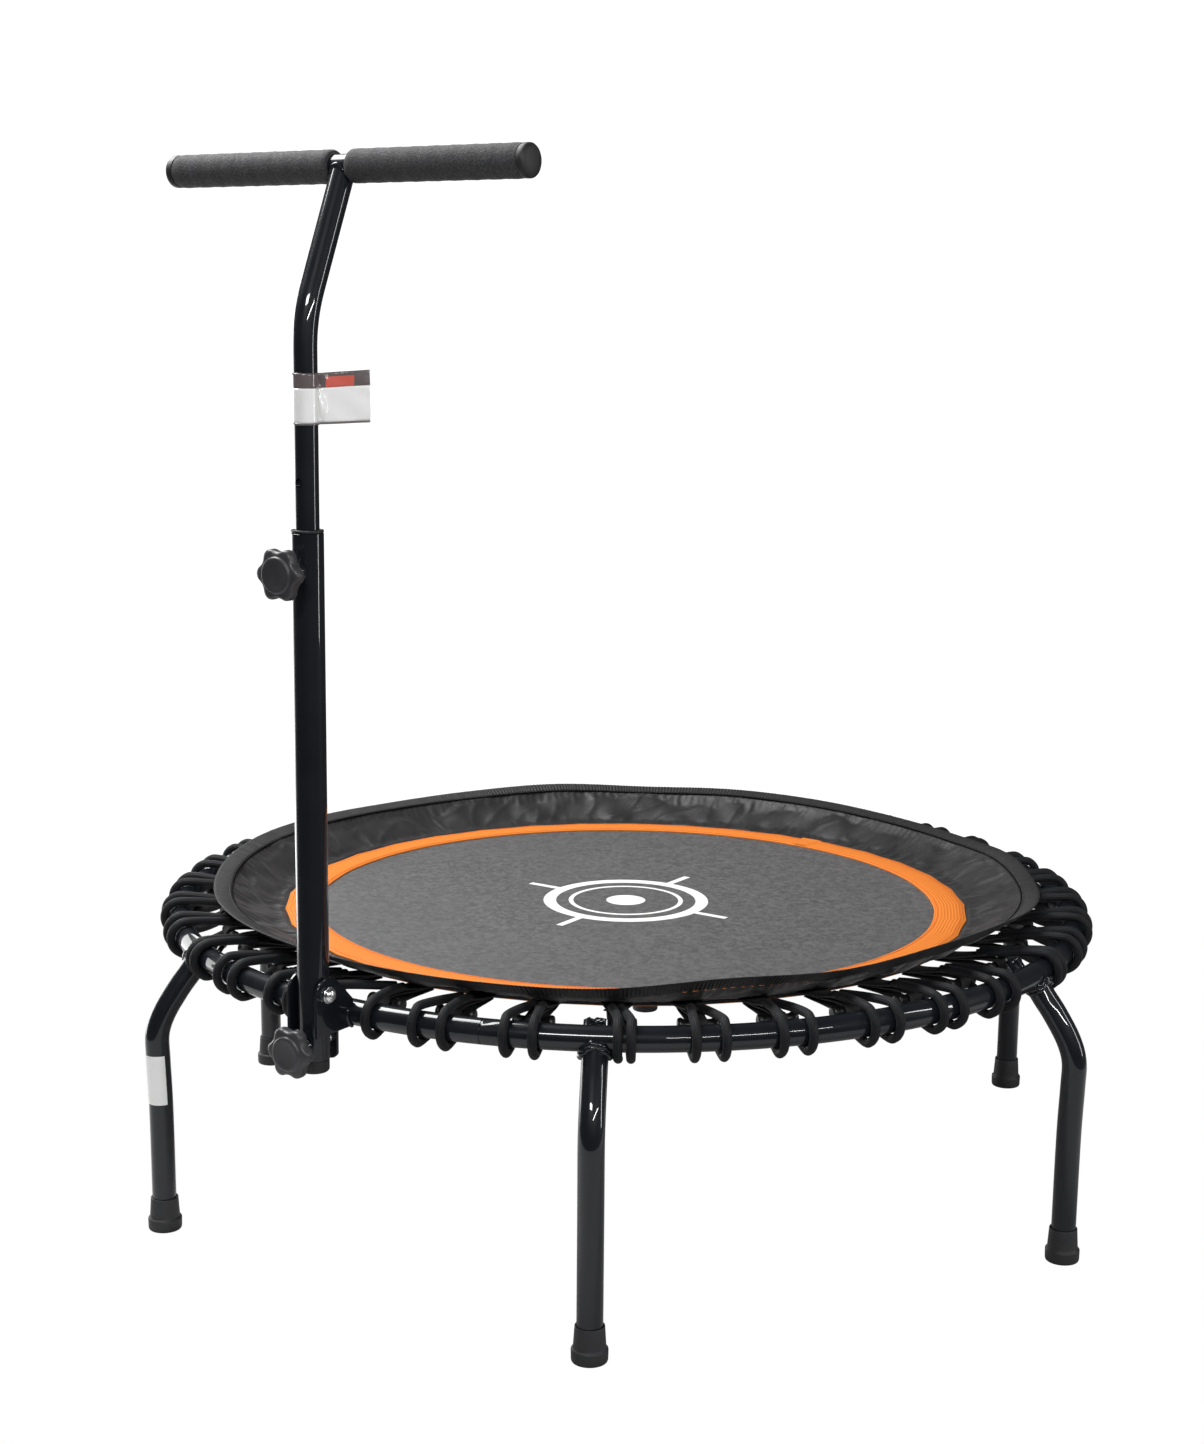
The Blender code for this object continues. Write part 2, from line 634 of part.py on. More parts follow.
def main():
    clear_scene()
    for name, (colour, roughness, metallic) in MATERIAL_LOOKS.items():
        make_material(name, colour, roughness, metallic)
    bounce_axis = add_axis("mat_bounce_axis", Vector((0, RING_Y, MAT_TOP)))
    fold_axis = add_axis("mast_fold_axis", front(MAST_REACH, PIVOT_Z))
    height_axis = add_axis("handle_height_axis", front(MAST_REACH, MAST_TOP), fold_axis)
    height_knob_axis = add_axis("height_knob_axis", front(MAST_REACH, HEIGHT_KNOB_Z), fold_axis)
    fold_knob_axis = add_axis("fold_knob_axis", front(MAST_REACH, FOLD_KNOB_Z), fold_axis)

    through = turned_mesh(rod_profile(STUD_HOLE_R, 60 * MM, -30 * MM), 16)
    pivot_room = add_cutter("pivot_room", through, front(MAST_REACH, PIVOT_Z), FACING_SIDE)
    ring_room = build_ring()
    build_legs(ring_room)
    build_foot_caps()
    build_bracket(ring_room, pivot_room)
    build_pivot(pivot_room)

    build_mast(fold_axis, pivot_room)
    build_boss("height_boss", HEIGHT_KNOB_Z, fold_axis)
    build_boss("fold_boss", FOLD_KNOB_Z, fold_axis)
    riser_front = MAST_REACH + RISER_R + 0.4 * MM
    build_knob("height_knob", "height_stud", HEIGHT_KNOB_Z, HEIGHT_KNOB_FACE, riser_front, height_knob_axis, height_knob_axis)
    build_knob("fold_knob", "fold_stud", FOLD_KNOB_Z, FOLD_KNOB_FACE, 0.510, fold_knob_axis, fold_knob_axis)
    build_riser(height_axis)
    build_crossbar(height_axis)
    build_tag(height_axis)

    build_mat(bounce_axis)
    build_skirt()
    build_bungees()


main()
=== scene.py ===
"""The looks of a round rebounder with a folding handle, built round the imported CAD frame.

All lengths are metres in the CAD's own frame. "Reach" is the distance in front of the ring's centre.
"""

import random
from math import copysign, cos, exp, hypot, pi, radians, sin, sqrt, tau

import bmesh
import bpy
from mathutils import Matrix, Vector, noise


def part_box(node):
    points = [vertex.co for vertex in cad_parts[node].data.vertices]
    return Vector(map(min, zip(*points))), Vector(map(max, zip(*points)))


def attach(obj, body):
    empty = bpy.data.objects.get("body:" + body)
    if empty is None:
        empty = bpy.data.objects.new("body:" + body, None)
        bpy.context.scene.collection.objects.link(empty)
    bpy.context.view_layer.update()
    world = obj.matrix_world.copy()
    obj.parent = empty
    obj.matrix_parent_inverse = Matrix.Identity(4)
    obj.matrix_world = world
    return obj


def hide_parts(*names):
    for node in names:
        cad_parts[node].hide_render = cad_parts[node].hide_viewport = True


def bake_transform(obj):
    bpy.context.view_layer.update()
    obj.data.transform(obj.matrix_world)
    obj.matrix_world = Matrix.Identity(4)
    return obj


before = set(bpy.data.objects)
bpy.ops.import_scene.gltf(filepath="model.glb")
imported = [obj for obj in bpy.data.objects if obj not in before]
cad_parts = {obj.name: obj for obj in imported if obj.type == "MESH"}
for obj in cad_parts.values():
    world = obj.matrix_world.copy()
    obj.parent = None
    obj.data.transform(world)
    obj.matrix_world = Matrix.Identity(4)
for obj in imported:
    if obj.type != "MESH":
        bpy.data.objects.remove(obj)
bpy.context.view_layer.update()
MM = 0.001


# ---- sizes, from the frame


def centre_of(node):
    low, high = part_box(node)
    return (low + high) / 2


def size_of(node):
    low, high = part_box(node)
    return high - low


RING_Y = centre_of("ring_tube").y
RING_Z = centre_of("ring_tube").z
TUBE_R = 12.5 * MM
RING_R = 0.4955
RING_JOINTS = (-72.3, 107.7)  # degrees, where the ring's halves are swaged together
MAT_R = size_of("jump_mat").x / 2
MAT_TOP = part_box("jump_mat")[1].z
BAND_INNER_R = MAT_R - 36 * MM
LEG_COUNT = 6
FOOT_R = 0.539
CAP_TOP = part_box("foot_cap_1")[1].z
# The leg's centre line from its weld to its foot: (distance from the ring's axis, height).
LEG_PATH = (
    *((0.4975, 0.2870), (0.5075, 0.2735), (0.5190, 0.2590), (0.5345, 0.2350)),
    *((0.5420, 0.2130), (0.5418, 0.1850), (0.5400, 0.1300), (FOOT_R, 5.6 * MM)),
)
LABEL_LEG = 240  # degrees round the ring
LABEL_LOW, LABEL_HIGH = 0.139, 0.192

MAST_Y = centre_of("lower_mast_tube").y
MAST_REACH = RING_Y - MAST_Y
MAST_R = 15 * MM
MAST_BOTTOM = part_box("lower_mast_tube")[0].z
MAST_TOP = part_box("lower_mast_tube")[1].z
PLUG_BOTTOM = 0.246
EAR_X = MAST_R + 0.4 * MM
EAR_THICK = 3 * MM
EAR_FOOT_Z = 0.284
TONGUE_REACH = 0.5115
PIVOT_Z = centre_of("pivot_bolt").z
HEIGHT_KNOB_Z = centre_of("height_knob").z
FOLD_KNOB_Z = centre_of("fold_knob").z
RISER_R = 11.15 * MM
RISER_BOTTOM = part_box("riser_tube")[0].z
RISER_BEND_Z = 0.945
HOLE_PITCH = 0.080
CROSSBAR = centre_of("crossbar")
CROSSBAR_R = 11 * MM
CROSSBAR_HALF = size_of("crossbar").x / 2
GRIP_R = 15.5 * MM
STUD_R = 4 * MM
KNOB_R = 25.2 * MM
KNOB_DEPTH = 14 * MM
KNOB_LOBES = 6
TAG_LOW, TAG_HIGH = 0.851, 0.897
TAG_ANGLE = 63  # degrees from +X, where the flag points
TAG_FLAG = 52 * MM

SEAM_R = 0.4408  # where the cover meets its gathered binding
EDGE_R = 0.4600  # the binding's free edge
COVER_MID_R = 0.41
CORD_R = 4.5 * MM
WRAP_R = TUBE_R + CORD_R + 0.6 * MM
TOGGLE = (0.4470, 0.2932)  # its distance from the ring's axis, and its height

# Heights of the cover's seam and of the binding's free edge at every 15 degrees, from +X over +Y.
RIM_STEP = 15
SEAM_HEIGHTS_MM = (
    *(328, 326, 324, 327, 323, 324, 327, 329),
    *(327, 330, 327, 326, 327, 327, 326, 322),
    *(322, 321, 319, 318, 318, 326, 326, 328),
)
EDGE_HEIGHTS_MM = (
    *(344, 334, 327, 332, 327, 328, 332, 334),
    *(332, 336, 333, 331, 333, 334, 331, 327),
    *(329, 331, 331, 331, 332, 341, 339, 345),
)

UP = Vector((0, 0, 1))
FACING_FRONT = Matrix(((1, 0, 0, 0), (0, 0, -1, 0), (0, 1, 0, 0), (0, 0, 0, 1)))  # local Z to -Y
FACING_RIGHT = Matrix(((0, 0, 1, 0), (0, 1, 0, 0), (-1, 0, 0, 0), (0, 0, 0, 1)))  # local Z to +X
FACING_LEFT = Matrix(((0, 0, -1, 0), (0, 1, 0, 0), (1, 0, 0, 0), (0, 0, 0, 1)))  # local Z to -X
STANDING = Matrix(((0, 0, 1, 0), (-1, 0, 0, 0), (0, 1, 0, 0), (0, 0, 0, 1)))  # local X to -Y, Y to Z
shifted = Matrix.Translation
RING_CENTRE = shifted((0, RING_Y, 0))
MAST_CENTRE = shifted((0, MAST_Y, 0))


def mm(*pairs):
    """Pairs of millimetres as pairs of metres."""
    return [(a * MM, b * MM) for a, b in pairs]


def turns(count):
    """Equal angles round a circle, in radians."""
    return [tau * k / count for k in range(count)]


def polar(radius, angle, height=0.0):
    """A point round the Z axis; the angle is in radians."""
    return Vector((radius * cos(angle), radius * sin(angle), height))


def around(radius, degrees, height):
    """A point round the ring's centre."""
    angle = radians(degrees)
    return Vector((radius * cos(angle), RING_Y + radius * sin(angle), height))


def front(reach, height, x=0.0):
    """A point on the handle's side; reach is measured from the ring's centre."""
    return Vector((x, RING_Y - reach, height))


def catmull(a, b, c, d, t):
    """The Catmull-Rom curve from b (t = 0) to c (t = 1), between numbers or points."""
    return b + ((c - a) * t + (2 * a - 5 * b + 4 * c - d) * t**2 + (3 * b - a - 3 * c + d) * t**3) / 2


def rim_height(heights, degrees):
    """A smooth closed curve through heights listed round the rim, in metres."""
    index, t = divmod((degrees % 360) / RIM_STEP, 1)
    return MM * catmull(*(heights[(int(index) + k) % len(heights)] for k in (-1, 0, 1, 2)), t)


def arc(x, y, radius, degrees, rise=None):
    """Points on a circle, or on an ellipse whose half height is rise, at a list of angles."""
    rise = radius if rise is None else rise
    return [(x + radius * cos(radians(a)), y + rise * sin(radians(a))) for a in degrees]


def smooth_line(points, steps):
    """A smooth curve through the points, as a list of points."""
    ends = [2 * points[0] - points[1], *points, 2 * points[-1] - points[-2]]
    spans = zip(ends, ends[1:], ends[2:], ends[3:])
    return [*(catmull(*span, step / steps) for span in spans for step in range(steps)), points[-1].copy()]


LEG_LINE = smooth_line([Vector((reach, 0, height)) for reach, height in LEG_PATH], 8)


# ---- mesh building


class Shape:
    """Points, faces, each face's material number and each face corner's UV in metres."""

    def __init__(self):
        self.points, self.faces, self.slots, self.uvs = [], [], [], []

    def skin(self, rings, slot=0, loop=False, round_=True, caps=False, uv_shift=(0, 0), matrix=None):
        """Skins a list of equally long rings. U runs from ring to ring and V round each ring."""
        first = len(self.points)
        count = len(rings[0])
        for ring in rings:
            self.points.extend(ring)
        along = [0.0]
        for a, b in zip(rings, rings[1:] + ([rings[0]] if loop else [])):
            along.append(along[-1] + (Vector(b[0]) - Vector(a[0])).length)
        across = [0.0]
        for a, b in zip(rings[0], [*rings[0][1:], rings[0][0]]):
            across.append(across[-1] + (Vector(b) - Vector(a)).length)
        du, dv = uv_shift
        for r in range(len(rings) if loop else len(rings) - 1):
            here, there = first + r * count, first + (r + 1) % len(rings) * count
            for c in range(count if round_ else count - 1):
                d = (c + 1) % count
                self.faces.append((here + c, here + d, there + d, there + c))
                self.slots.append(slot)
                u0, u1, v0, v1 = along[r] + du, along[r + 1] + du, across[c] + dv, across[c + 1] + dv
                self.uvs.append(((u0, v0), (u0, v1), (u1, v1), (u1, v0)))
        if caps:
            last = first + (len(rings) - 1) * count
            self.cap(range(first, first + count), slot)
            self.cap(range(last + count - 1, last - 1, -1), slot)
        if matrix is not None:
            self.points[first:] = [matrix @ Vector(point) for point in self.points[first:]]
        return self

    def cap(self, indices, slot=0):
        face = tuple(indices)
        self.faces.append(face)
        self.slots.append(slot)
        self.uvs.append(tuple((self.points[i][0], self.points[i][1]) for i in face))

    def slab(self, outline, thickness, matrix):
        """A closed outline of (x, y) points thickened along Z."""
        rings = [[Vector((x, y, z)) for x, y in outline] for z in (0, thickness)]
        return self.skin(rings, caps=True, matrix=matrix)

    def mesh(self, name, closed=True):
        """A closed shape gets its faces turned outward; a sheet's are turned over, to face up."""
        mesh = bpy.data.meshes.new(name)
        mesh.from_pydata([tuple(p) for p in self.points], [], self.faces)
        mesh.polygons.foreach_set("material_index", self.slots)
        layer = mesh.uv_layers.new(name="UVMap")
        layer.data.foreach_set("uv", [value for face in self.uvs for corner in face for value in corner])
        bm = bmesh.new()
        bm.from_mesh(mesh)
        change = bmesh.ops.recalc_face_normals if closed else bmesh.ops.reverse_faces
        change(bm, faces=bm.faces)
        bm.to_mesh(mesh)
        bm.free()
        return mesh


def turned(profile, sides):
    """Rings of a profile of (radius, height) points turned round Z."""
    return [[polar(radius, angle, height) for angle in turns(sides)] for radius, height in profile]


def lathe(profile, sides, matrix):
    return Shape().skin(turned(profile, sides), matrix=matrix)


def rounded(profile, radius, steps=4):
    """The profile with each inner corner turned into a small arc."""
    made = [Vector(profile[0])]
    for a, b, c in zip(profile, profile[1:], profile[2:]):
        a, b, c = Vector(a), Vector(b), Vector(c)
        reach = min(radius, 0.45 * (a - b).length, 0.45 * (c - b).length)
        start = b + (a - b).normalized() * reach
        end = b + (c - b).normalized() * reach
        for step in range(steps + 1):
            t = step / steps
            made.append(start * (1 - t) ** 2 + b * 2 * t * (1 - t) + end * t * t)
    return [*made, Vector(profile[-1])]


def frames_along(line, side=None):
    """A pair of cross directions at each point of a line, turned as little as possible."""
    ends = [line[0], *line, line[-1]]
    tangents = [(b - a).normalized() for a, b in zip(ends, ends[2:])]
    cross = side or (Vector((1, 0, 0)) if abs(tangents[0].x) < 0.9 else Vector((0, 1, 0)))
    made = []
    for tangent in tangents:
        cross = (cross - tangent * cross.dot(tangent)).normalized()
        made.append((cross, tangent.cross(cross)))
    return made


def tube_rings(line, radii, sides, side=None):
    """Circles along a line; radii is one number or one for each point."""
    if not hasattr(radii, "__len__"):
        radii = [radii] * len(line)
    rings = []
    for point, radius, (a, b) in zip(line, radii, frames_along(line, side)):
        rings.append([point + radius * (a * cos(t) + b * sin(t)) for t in turns(sides)])
    return rings


def link(name, data):
    """A new object in the scene."""
    obj = bpy.data.objects.new(name, data)
    bpy.context.scene.collection.objects.link(obj)
    return obj


def add_piece(name, mesh, looks, smooth=35):
    """An object with its materials by name, smooth up to an angle in degrees."""
    for look in looks:
        mesh.materials.append(LOOKS[look])
    mesh.polygons.foreach_set("use_smooth", [True] * len(mesh.polygons))
    mesh.set_sharp_from_angle(angle=radians(smooth))
    return link(name, mesh)


def place_piece(name, shape, body, nodes, slot, smooth=35, looks=None):
    """A piece that rides on a body, stands for CAD nodes and takes its materials from looks, or else from the
    slot's name.
    """
    obj = add_piece(name, shape.mesh(name), looks or [slot], smooth)
    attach(obj, body)
    if nodes:
        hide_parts(nodes)
    return obj


def bend_piece(name, mesh, looks, smooth, degrees, start, end, node):
    """A soft piece, baked into world space, that stands for a CAD node."""
    obj = add_piece(name, mesh, looks, smooth)
    start, end = around(start, degrees, MAT_TOP), around(end, degrees, MAT_TOP)
    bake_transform(obj)
    if node:
        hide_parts(node)
    return obj


def modify(obj, kind, **settings):
    """Adds a modifier."""
    modifier = obj.modifiers.new(kind.title(), kind)
    for name, value in settings.items():
        setattr(modifier, name, value)
    return modifier


# ---- materials

LOOKS = {}  # the finished materials, by name


class Paint:
    """A Principled material with short ways to wire procedural detail into it."""

    def __init__(self, name, colour, roughness, source="Object", **sockets):
        self.material = LOOKS[name] = bpy.data.materials.new(name)
        self.material.use_nodes = True
        self.tree = self.material.node_tree
        self.shader = self.tree.nodes["Principled BSDF"]
        self.set("Base Color", (*colour, 1))
        self.set("Roughness", roughness)
        for socket, value in sockets.items():
            self.set(socket.replace("_", " "), value)
        self.where = self.node("TexCoord", {}, source)

    def set(self, socket, value):
        """A constant is stored on the shader's socket; another node's output is linked to it."""
        self._feed(self.shader.inputs[socket], value)

    def _feed(self, socket, value):
        if isinstance(value, bpy.types.NodeSocket):
            self.tree.links.new(value, socket)
        else:
            socket.default_value = value

    def node(self, kind, inputs, output=0, **options):
        node = self.tree.nodes.new("ShaderNode" + kind)
        for option, value in options.items():
            setattr(node, option, value)
        for socket, value in inputs.items():
            self._feed(node.inputs[socket], value)
        return node.outputs[output]

    def stretch(self, scale, turn=0.0):
        return self.node("Mapping", {"Vector": self.where, "Scale": scale, "Rotation": (0, 0, radians(turn))})

    def noise(self, size, detail=2.0, roughness=0.5, where=None):
        """Noise with features of about that size in metres."""
        inputs = {"Vector": where or self.where, "Scale": 1 / size, "Detail": detail, "Roughness": roughness}
        return self.node("TexNoise", inputs)

    def bands(self, period, direction="X", wobble=0.0, where=None):
        """Smooth ridges across an axis, a period apart in metres."""
        inputs = {"Vector": where or self.where, "Scale": tau / (20 * period), "Distortion": wobble}
        return self.node("TexWave", {**inputs, "Detail Scale": 2.0}, "Fac", bands_direction=direction)

    def spread(self, value, low, high, start=0.0, end=1.0):
        """Maps start..end onto low..high, and clamps."""
        inputs = {"Value": value, "From Min": start, "From Max": end, "To Min": low, "To Max": high}
        return self.node("MapRange", inputs)

    def maths(self, operation, a, b=0.0):
        return self.node("Math", {0: a, 1: b}, operation=operation)

    def blend(self, share, a, b):
        """Colour a, or colour b where share is 1."""
        a, b = ((*c, 1) if isinstance(c, tuple) else c for c in (a, b))
        return self.node("Mix", {0: share, 6: a, 7: b}, 2, data_type="RGBA")

    def tint(self, share, a, b):
        """The base colour: a, or b where share is 1."""
        self.set("Base Color", self.blend(share, a, b))

    def gloss(self, share, low, high):
        """The roughness, from low to high with a noise."""
        self.set("Roughness", self.spread(share, low, high, 0.3, 0.7))

    def bump(self, height, depth):
        """Raises the surface by depth metres where height is 1; a second call adds to the first."""
        links = self.shader.inputs["Normal"].links
        inputs = {"Height": height, "Distance": depth}
        if links:
            inputs["Normal"] = links[0].from_socket
        self.set("Normal", self.node("Bump", inputs))


# Gloss powder coat: a faint orange peel, and patches that are a little duller.
paint = Paint("black_paint", (0.0072, 0.0084, 0.0120), 0.35, Coat_Weight=1.0, Coat_Roughness=0.04)
paint.set("Specular IOR Level", 0.12)
patches = paint.noise(60 * MM, 4)
paint.gloss(patches, 0.30, 0.45)
paint.tint(patches, (0.0061, 0.0071, 0.0102), (0.0094, 0.0108, 0.0152))
paint.bump(paint.noise(1.6 * MM, 3), 0.016 * MM)

# Moulded plastic and rubber, dusty and with a fine spark-eroded grain: its size and depth are last.
for name, colour, roughness, grain, depth in (
    ("foot_rubber", (0.0150, 0.0155, 0.0170), 0.55, 1.2 * MM, 0.05 * MM),
    ("knob_plastic", (0.0310, 0.0310, 0.0340), 0.38, 0.9 * MM, 0.02 * MM),
    ("guide_plastic", (0.0120, 0.0120, 0.0130), 0.42, 0.9 * MM, 0.02 * MM),
    ("cap_plastic", (0.0130, 0.0130, 0.0140), 0.55, 1.0 * MM, 0.02 * MM),
    ("toggle_plastic", (0.0052, 0.0052, 0.0056), 0.34, 0.9 * MM, 0.02 * MM),
):
    paint = Paint(name, colour, roughness)
    dust = paint.noise(14 * MM, 5, 0.6)
    paint.gloss(dust, roughness - 0.07, roughness + 0.1)
    paint.tint(dust, colour, tuple(c * 1.7 for c in colour))
    paint.bump(paint.noise(grain, 3, 0.6), depth)

# Plated steel with fine scratches and a slightly cloudy gloss.
for name, colour, roughness, scratch in (
    ("chrome_bolt", (0.90, 0.90, 0.91), 0.26, 0.01 * MM),
    ("zinc_steel", (0.46, 0.47, 0.49), 0.28, 0.02 * MM),
):
    paint = Paint(name, colour, roughness, Metallic=1.0)
    paint.gloss(paint.noise(3 * MM, 3), roughness * 0.7, roughness * 1.5)
    paint.bump(paint.noise(0.5 * MM, 2, where=paint.stretch((1, 1, 6))), scratch)

# Closed-cell foam: a pitted skin with a dusty sheen, and painted shade that darkens the colour in each pit.
paint = Paint("grip_foam", (0.027, 0.027, 0.029), 0.86, Sheen_Weight=0.10, Sheen_Roughness=0.5)
pits_and_shade = paint.node("TexVoronoi", {"Vector": paint.where, "Scale": 1 / (1.7 * MM)}, "Distance")
lumps = paint.noise(3.0 * MM, 4, 0.7)
# Painted shade: the colour is darker towards each pit's deepest point.
paint.tint(pits_and_shade, (0.010, 0.010, 0.0115), (0.062, 0.062, 0.066))
paint.gloss(lumps, 0.75, 0.95)
paint.bump(lumps, 0.35 * MM)
paint.bump(pits_and_shade, 0.25 * MM)


def centre_mark(paint, speck):
    """A plain aiming mark: a ring, an inner dot and four short spokes. Returns 1 inside the print."""
    offset = paint.node("VectorMath", {0: paint.where, 1: (0, RING_Y, 0)}, operation="SUBTRACT")
    flat = paint.node("VectorMath", {0: offset, 1: (1, 1, 0)}, operation="MULTIPLY")
    distance = paint.node("VectorMath", {0: flat}, "Value", operation="LENGTH")
    split = paint.node("SeparateXYZ", {0: flat}, 0).node
    soft = 0.5 * MM

    def within(value, middle, half):
        off = paint.maths("ABSOLUTE", paint.maths("SUBTRACT", value, middle))
        return paint.spread(off, 1, 0, half - soft, half + soft)

    parts = [within(distance, middle, half) for middle, half in mm((86, 7), (62, 2.5), (0, 22))]
    for axis in (0, 1):
        line = within(split.outputs[axis], 0, 4 * MM)
        parts.append(paint.maths("MULTIPLY", line, within(distance, 110 * MM, 22 * MM)))
    mark = parts[0]
    for part in parts[1:]:
        mark = paint.maths("MAXIMUM", mark, part)
    wear = paint.spread(speck, 0.80, 1, 0.22, 0.34)
    return paint.maths("MULTIPLY", mark, wear)


# Plain-woven polypropylene tape yarn with a printed white centre mark, and painted shade in the low gaps
# between the yarns.
paint = Paint("mat_weave", (0.07, 0.07, 0.071), 0.62, Sheen_Weight=0.08)
thread = paint.maths("MULTIPLY", paint.bands(1.5 * MM, "X"), paint.bands(1.5 * MM, "Y"))
speck = paint.noise(7 * MM, 4, 0.85)
broad = paint.noise(90 * MM, 3)
cloth = paint.blend(paint.spread(speck, 0, 1, 0.40, 0.60), (0.036, 0.036, 0.037), (0.160, 0.160, 0.162))
cloth = paint.blend(paint.spread(broad, 0, 0.25, 0.3, 0.7), cloth, (0.088, 0.088, 0.089))
# Painted shade: the colour is darker where the weave's bump is low.
cloth = paint.blend(paint.spread(thread, 0.55, 0), cloth, (0.020, 0.020, 0.021))
ink = paint.blend(speck, (0.80, 0.80, 0.79), (0.95, 0.95, 0.94))
paint.tint(centre_mark(paint, speck), cloth, ink)
paint.bump(thread, 0.25 * MM)

# Ribbed webbing: fine ribs along the band, with painted shade in each groove and a painted highlight on each
# rib crest.
paint = Paint("orange_webbing", (0.86, 0.24, 0.022), 0.75, "UV", Specular_IOR_Level=0.25)
ribs = paint.bands(3.4 * MM, "Y", 0.35)
yarn = paint.bands(0.9 * MM, "X", 0.6)
speck = paint.noise(0.9 * MM, 2, 0.7)
# Painted shade and highlight: the colour is paler on the ribs' crests and darker in their grooves.
colour = paint.blend(paint.spread(ribs, 0, 1), (0.69, 0.170, 0.018), (0.83, 0.275, 0.040))
paint.tint(paint.spread(speck, 0, 0.45, 0.3, 0.7), colour, (0.58, 0.13, 0.014))
paint.bump(ribs, 0.35 * MM)
paint.bump(yarn, 0.08 * MM)

# The webbing's thread, and a thin near-black line of painted shade along the seam between the cover and its
# elastic.
paint = Paint("orange_thread", (0.72, 0.15, 0.015), 0.6, Specular_IOR_Level=0.3)
twist = paint.noise(0.5 * MM, 2)
paint.tint(twist, (0.55, 0.09, 0.010), (0.86, 0.22, 0.03))
paint.bump(twist, 0.05 * MM)
# Painted shade: a near-black tape for the seam's shade line.
paint = Paint("seam_shade_tape", (0.0016, 0.0016, 0.0018), 0.85, Specular_IOR_Level=0.1)
twist = paint.noise(0.8 * MM, 2)
paint.tint(twist, (0.0012, 0.0012, 0.0014), (0.0026, 0.0026, 0.0028))
paint.bump(twist, 0.1 * MM)

# The cover's satin dark polyester: a fine twill that catches the light along its folds.
paint = Paint("skirt_fabric", (0.012, 0.012, 0.013), 0.38, "UV", Sheen_Weight=0.16, Sheen_Roughness=0.3)
paint.set("Specular IOR Level", 0.3)
twill = paint.bands(1.1 * MM, "X", 0.3, paint.stretch((1, 1, 1), 28))
fleck = paint.noise(1.3 * MM, 2, 0.7)
broad = paint.noise(35 * MM, 4, 0.6)
colour = paint.blend(paint.spread(fleck, 0, 1, 0.3, 0.7), (0.0085, 0.0085, 0.0090), (0.034, 0.034, 0.035))
paint.tint(paint.spread(broad, 0, 0.6, 0.35, 0.7), colour, (0.027, 0.027, 0.028))
paint.gloss(broad, 0.34, 0.52)
paint.bump(twill, 0.06 * MM)

# Black ribbed elastic; the gathers themselves are modelled.
paint = Paint("binding_tape", (0.008, 0.008, 0.009), 0.6, "UV", Sheen_Weight=0.05, Sheen_Roughness=0.4)
fleck = paint.noise(0.9 * MM, 2, 0.7)
paint.tint(fleck, (0.004, 0.004, 0.005), (0.013, 0.013, 0.014))
paint.bump(paint.bands(1.2 * MM, "Y"), 0.1 * MM)
paint.bump(fleck, 0.06 * MM)

# The loops' tabs and straps.
paint = Paint("tab_webbing", (0.007, 0.007, 0.008), 0.7, "UV", Sheen_Weight=0.03)
paint.tint(paint.noise(0.8 * MM, 2), (0.004, 0.004, 0.005), (0.012, 0.012, 0.013))
paint.bump(paint.bands(1.6 * MM, "X"), 0.15 * MM)

# A braided sheath: fine ribs along the cord, each broken by the yarn's slanted crossings, with a painted
# highlight on the raised yarn.
CORD_COLOUR, CORD_RIB = (0.0020, 0.0022, 0.0029), 1.75 * MM
paint = Paint("bungee_cord", CORD_COLOUR, 0.62, "UV", Sheen_Weight=0.03, Sheen_Roughness=0.4)
paint.set("Specular IOR Level", 0.3)
ribs = paint.bands(CORD_RIB, "Y", 0.25)
one, two = (paint.bands(0.8 * CORD_RIB, "X", 0.0, paint.stretch((1, 1, 1), turn)) for turn in (38, -38))
strands = paint.maths("MULTIPLY", ribs, paint.spread(paint.maths("MAXIMUM", one, two), 0.55, 1))
# Painted highlight: the raised yarn is painted up to eight times paler.
rib_highlight = paint.maths("MULTIPLY", strands, paint.noise(0.8 * MM, 2))
paint.tint(rib_highlight, CORD_COLOUR, tuple(c * 8 for c in CORD_COLOUR))
paint.bump(strands, 0.3 * MM)

# Printed plastic film and paper with a soft ripple.
for name, colour, roughness in (
    ("tag_film", (0.93, 0.93, 0.93), 0.22),
    ("tag_header", (0.14, 0.115, 0.115), 0.22),
    ("tag_stripe", (0.66, 0.13, 0.10), 0.22),
    ("tag_edge", (0.16, 0.15, 0.15), 0.22),
    ("blank_label", (0.94, 0.94, 0.93), 0.4),
):
    paint = Paint(name, colour, roughness, Coat_Weight=0.6, Coat_Roughness=0.08)
    ripple = paint.noise(16 * MM, 3)
    paint.tint(ripple, colour, tuple(min(1.0, c * 1.12) for c in colour))
    paint.bump(ripple, 0.5 * MM)


# ---- frame


def build_ring():
    """The round tube, with the fine step where its two halves are swaged together."""
    steps = 240
    angles = [(360 * k / steps, 0.0) for k in range(steps)]
    for joint in RING_JOINTS:
        for turn, dip in ((-0.30, 0), (-0.06, 0), (-0.05, 0.8 * MM), (0.05, 0.8 * MM), (0.06, 0), (0.30, 0)):
            angles.append(((joint + turn) % 360, dip))
    rings = []
    for degrees, dip in sorted(angles):
        radius = TUBE_R - dip
        rings.append([around(RING_R + radius * cos(t), degrees, RING_Z + radius * sin(t)) for t in turns(28)])
    place_piece("ring", Shape().skin(rings, loop=True), "frame", "ring_tube", "black_paint")


def weld_bead(line, radius, lump, seed):
    """A lumpy bead of weld metal along a closed line, as rings."""
    count = len(line)
    rings = []
    for i, (point, (a, b)) in enumerate(zip(line, frames_along([*line, line[0]]))):
        swell = 1 + lump * sin(tau * i * (count // 7) / count) * 0.6
        ring = []
        for t in turns(10):
            place = point + radius * (a * cos(t) + b * sin(t))
            grow = swell + lump * noise.noise(place * 260 + Vector((seed, 0, 0)))
            ring.append(point + (place - point) * grow)
        rings.append(ring)
    return rings


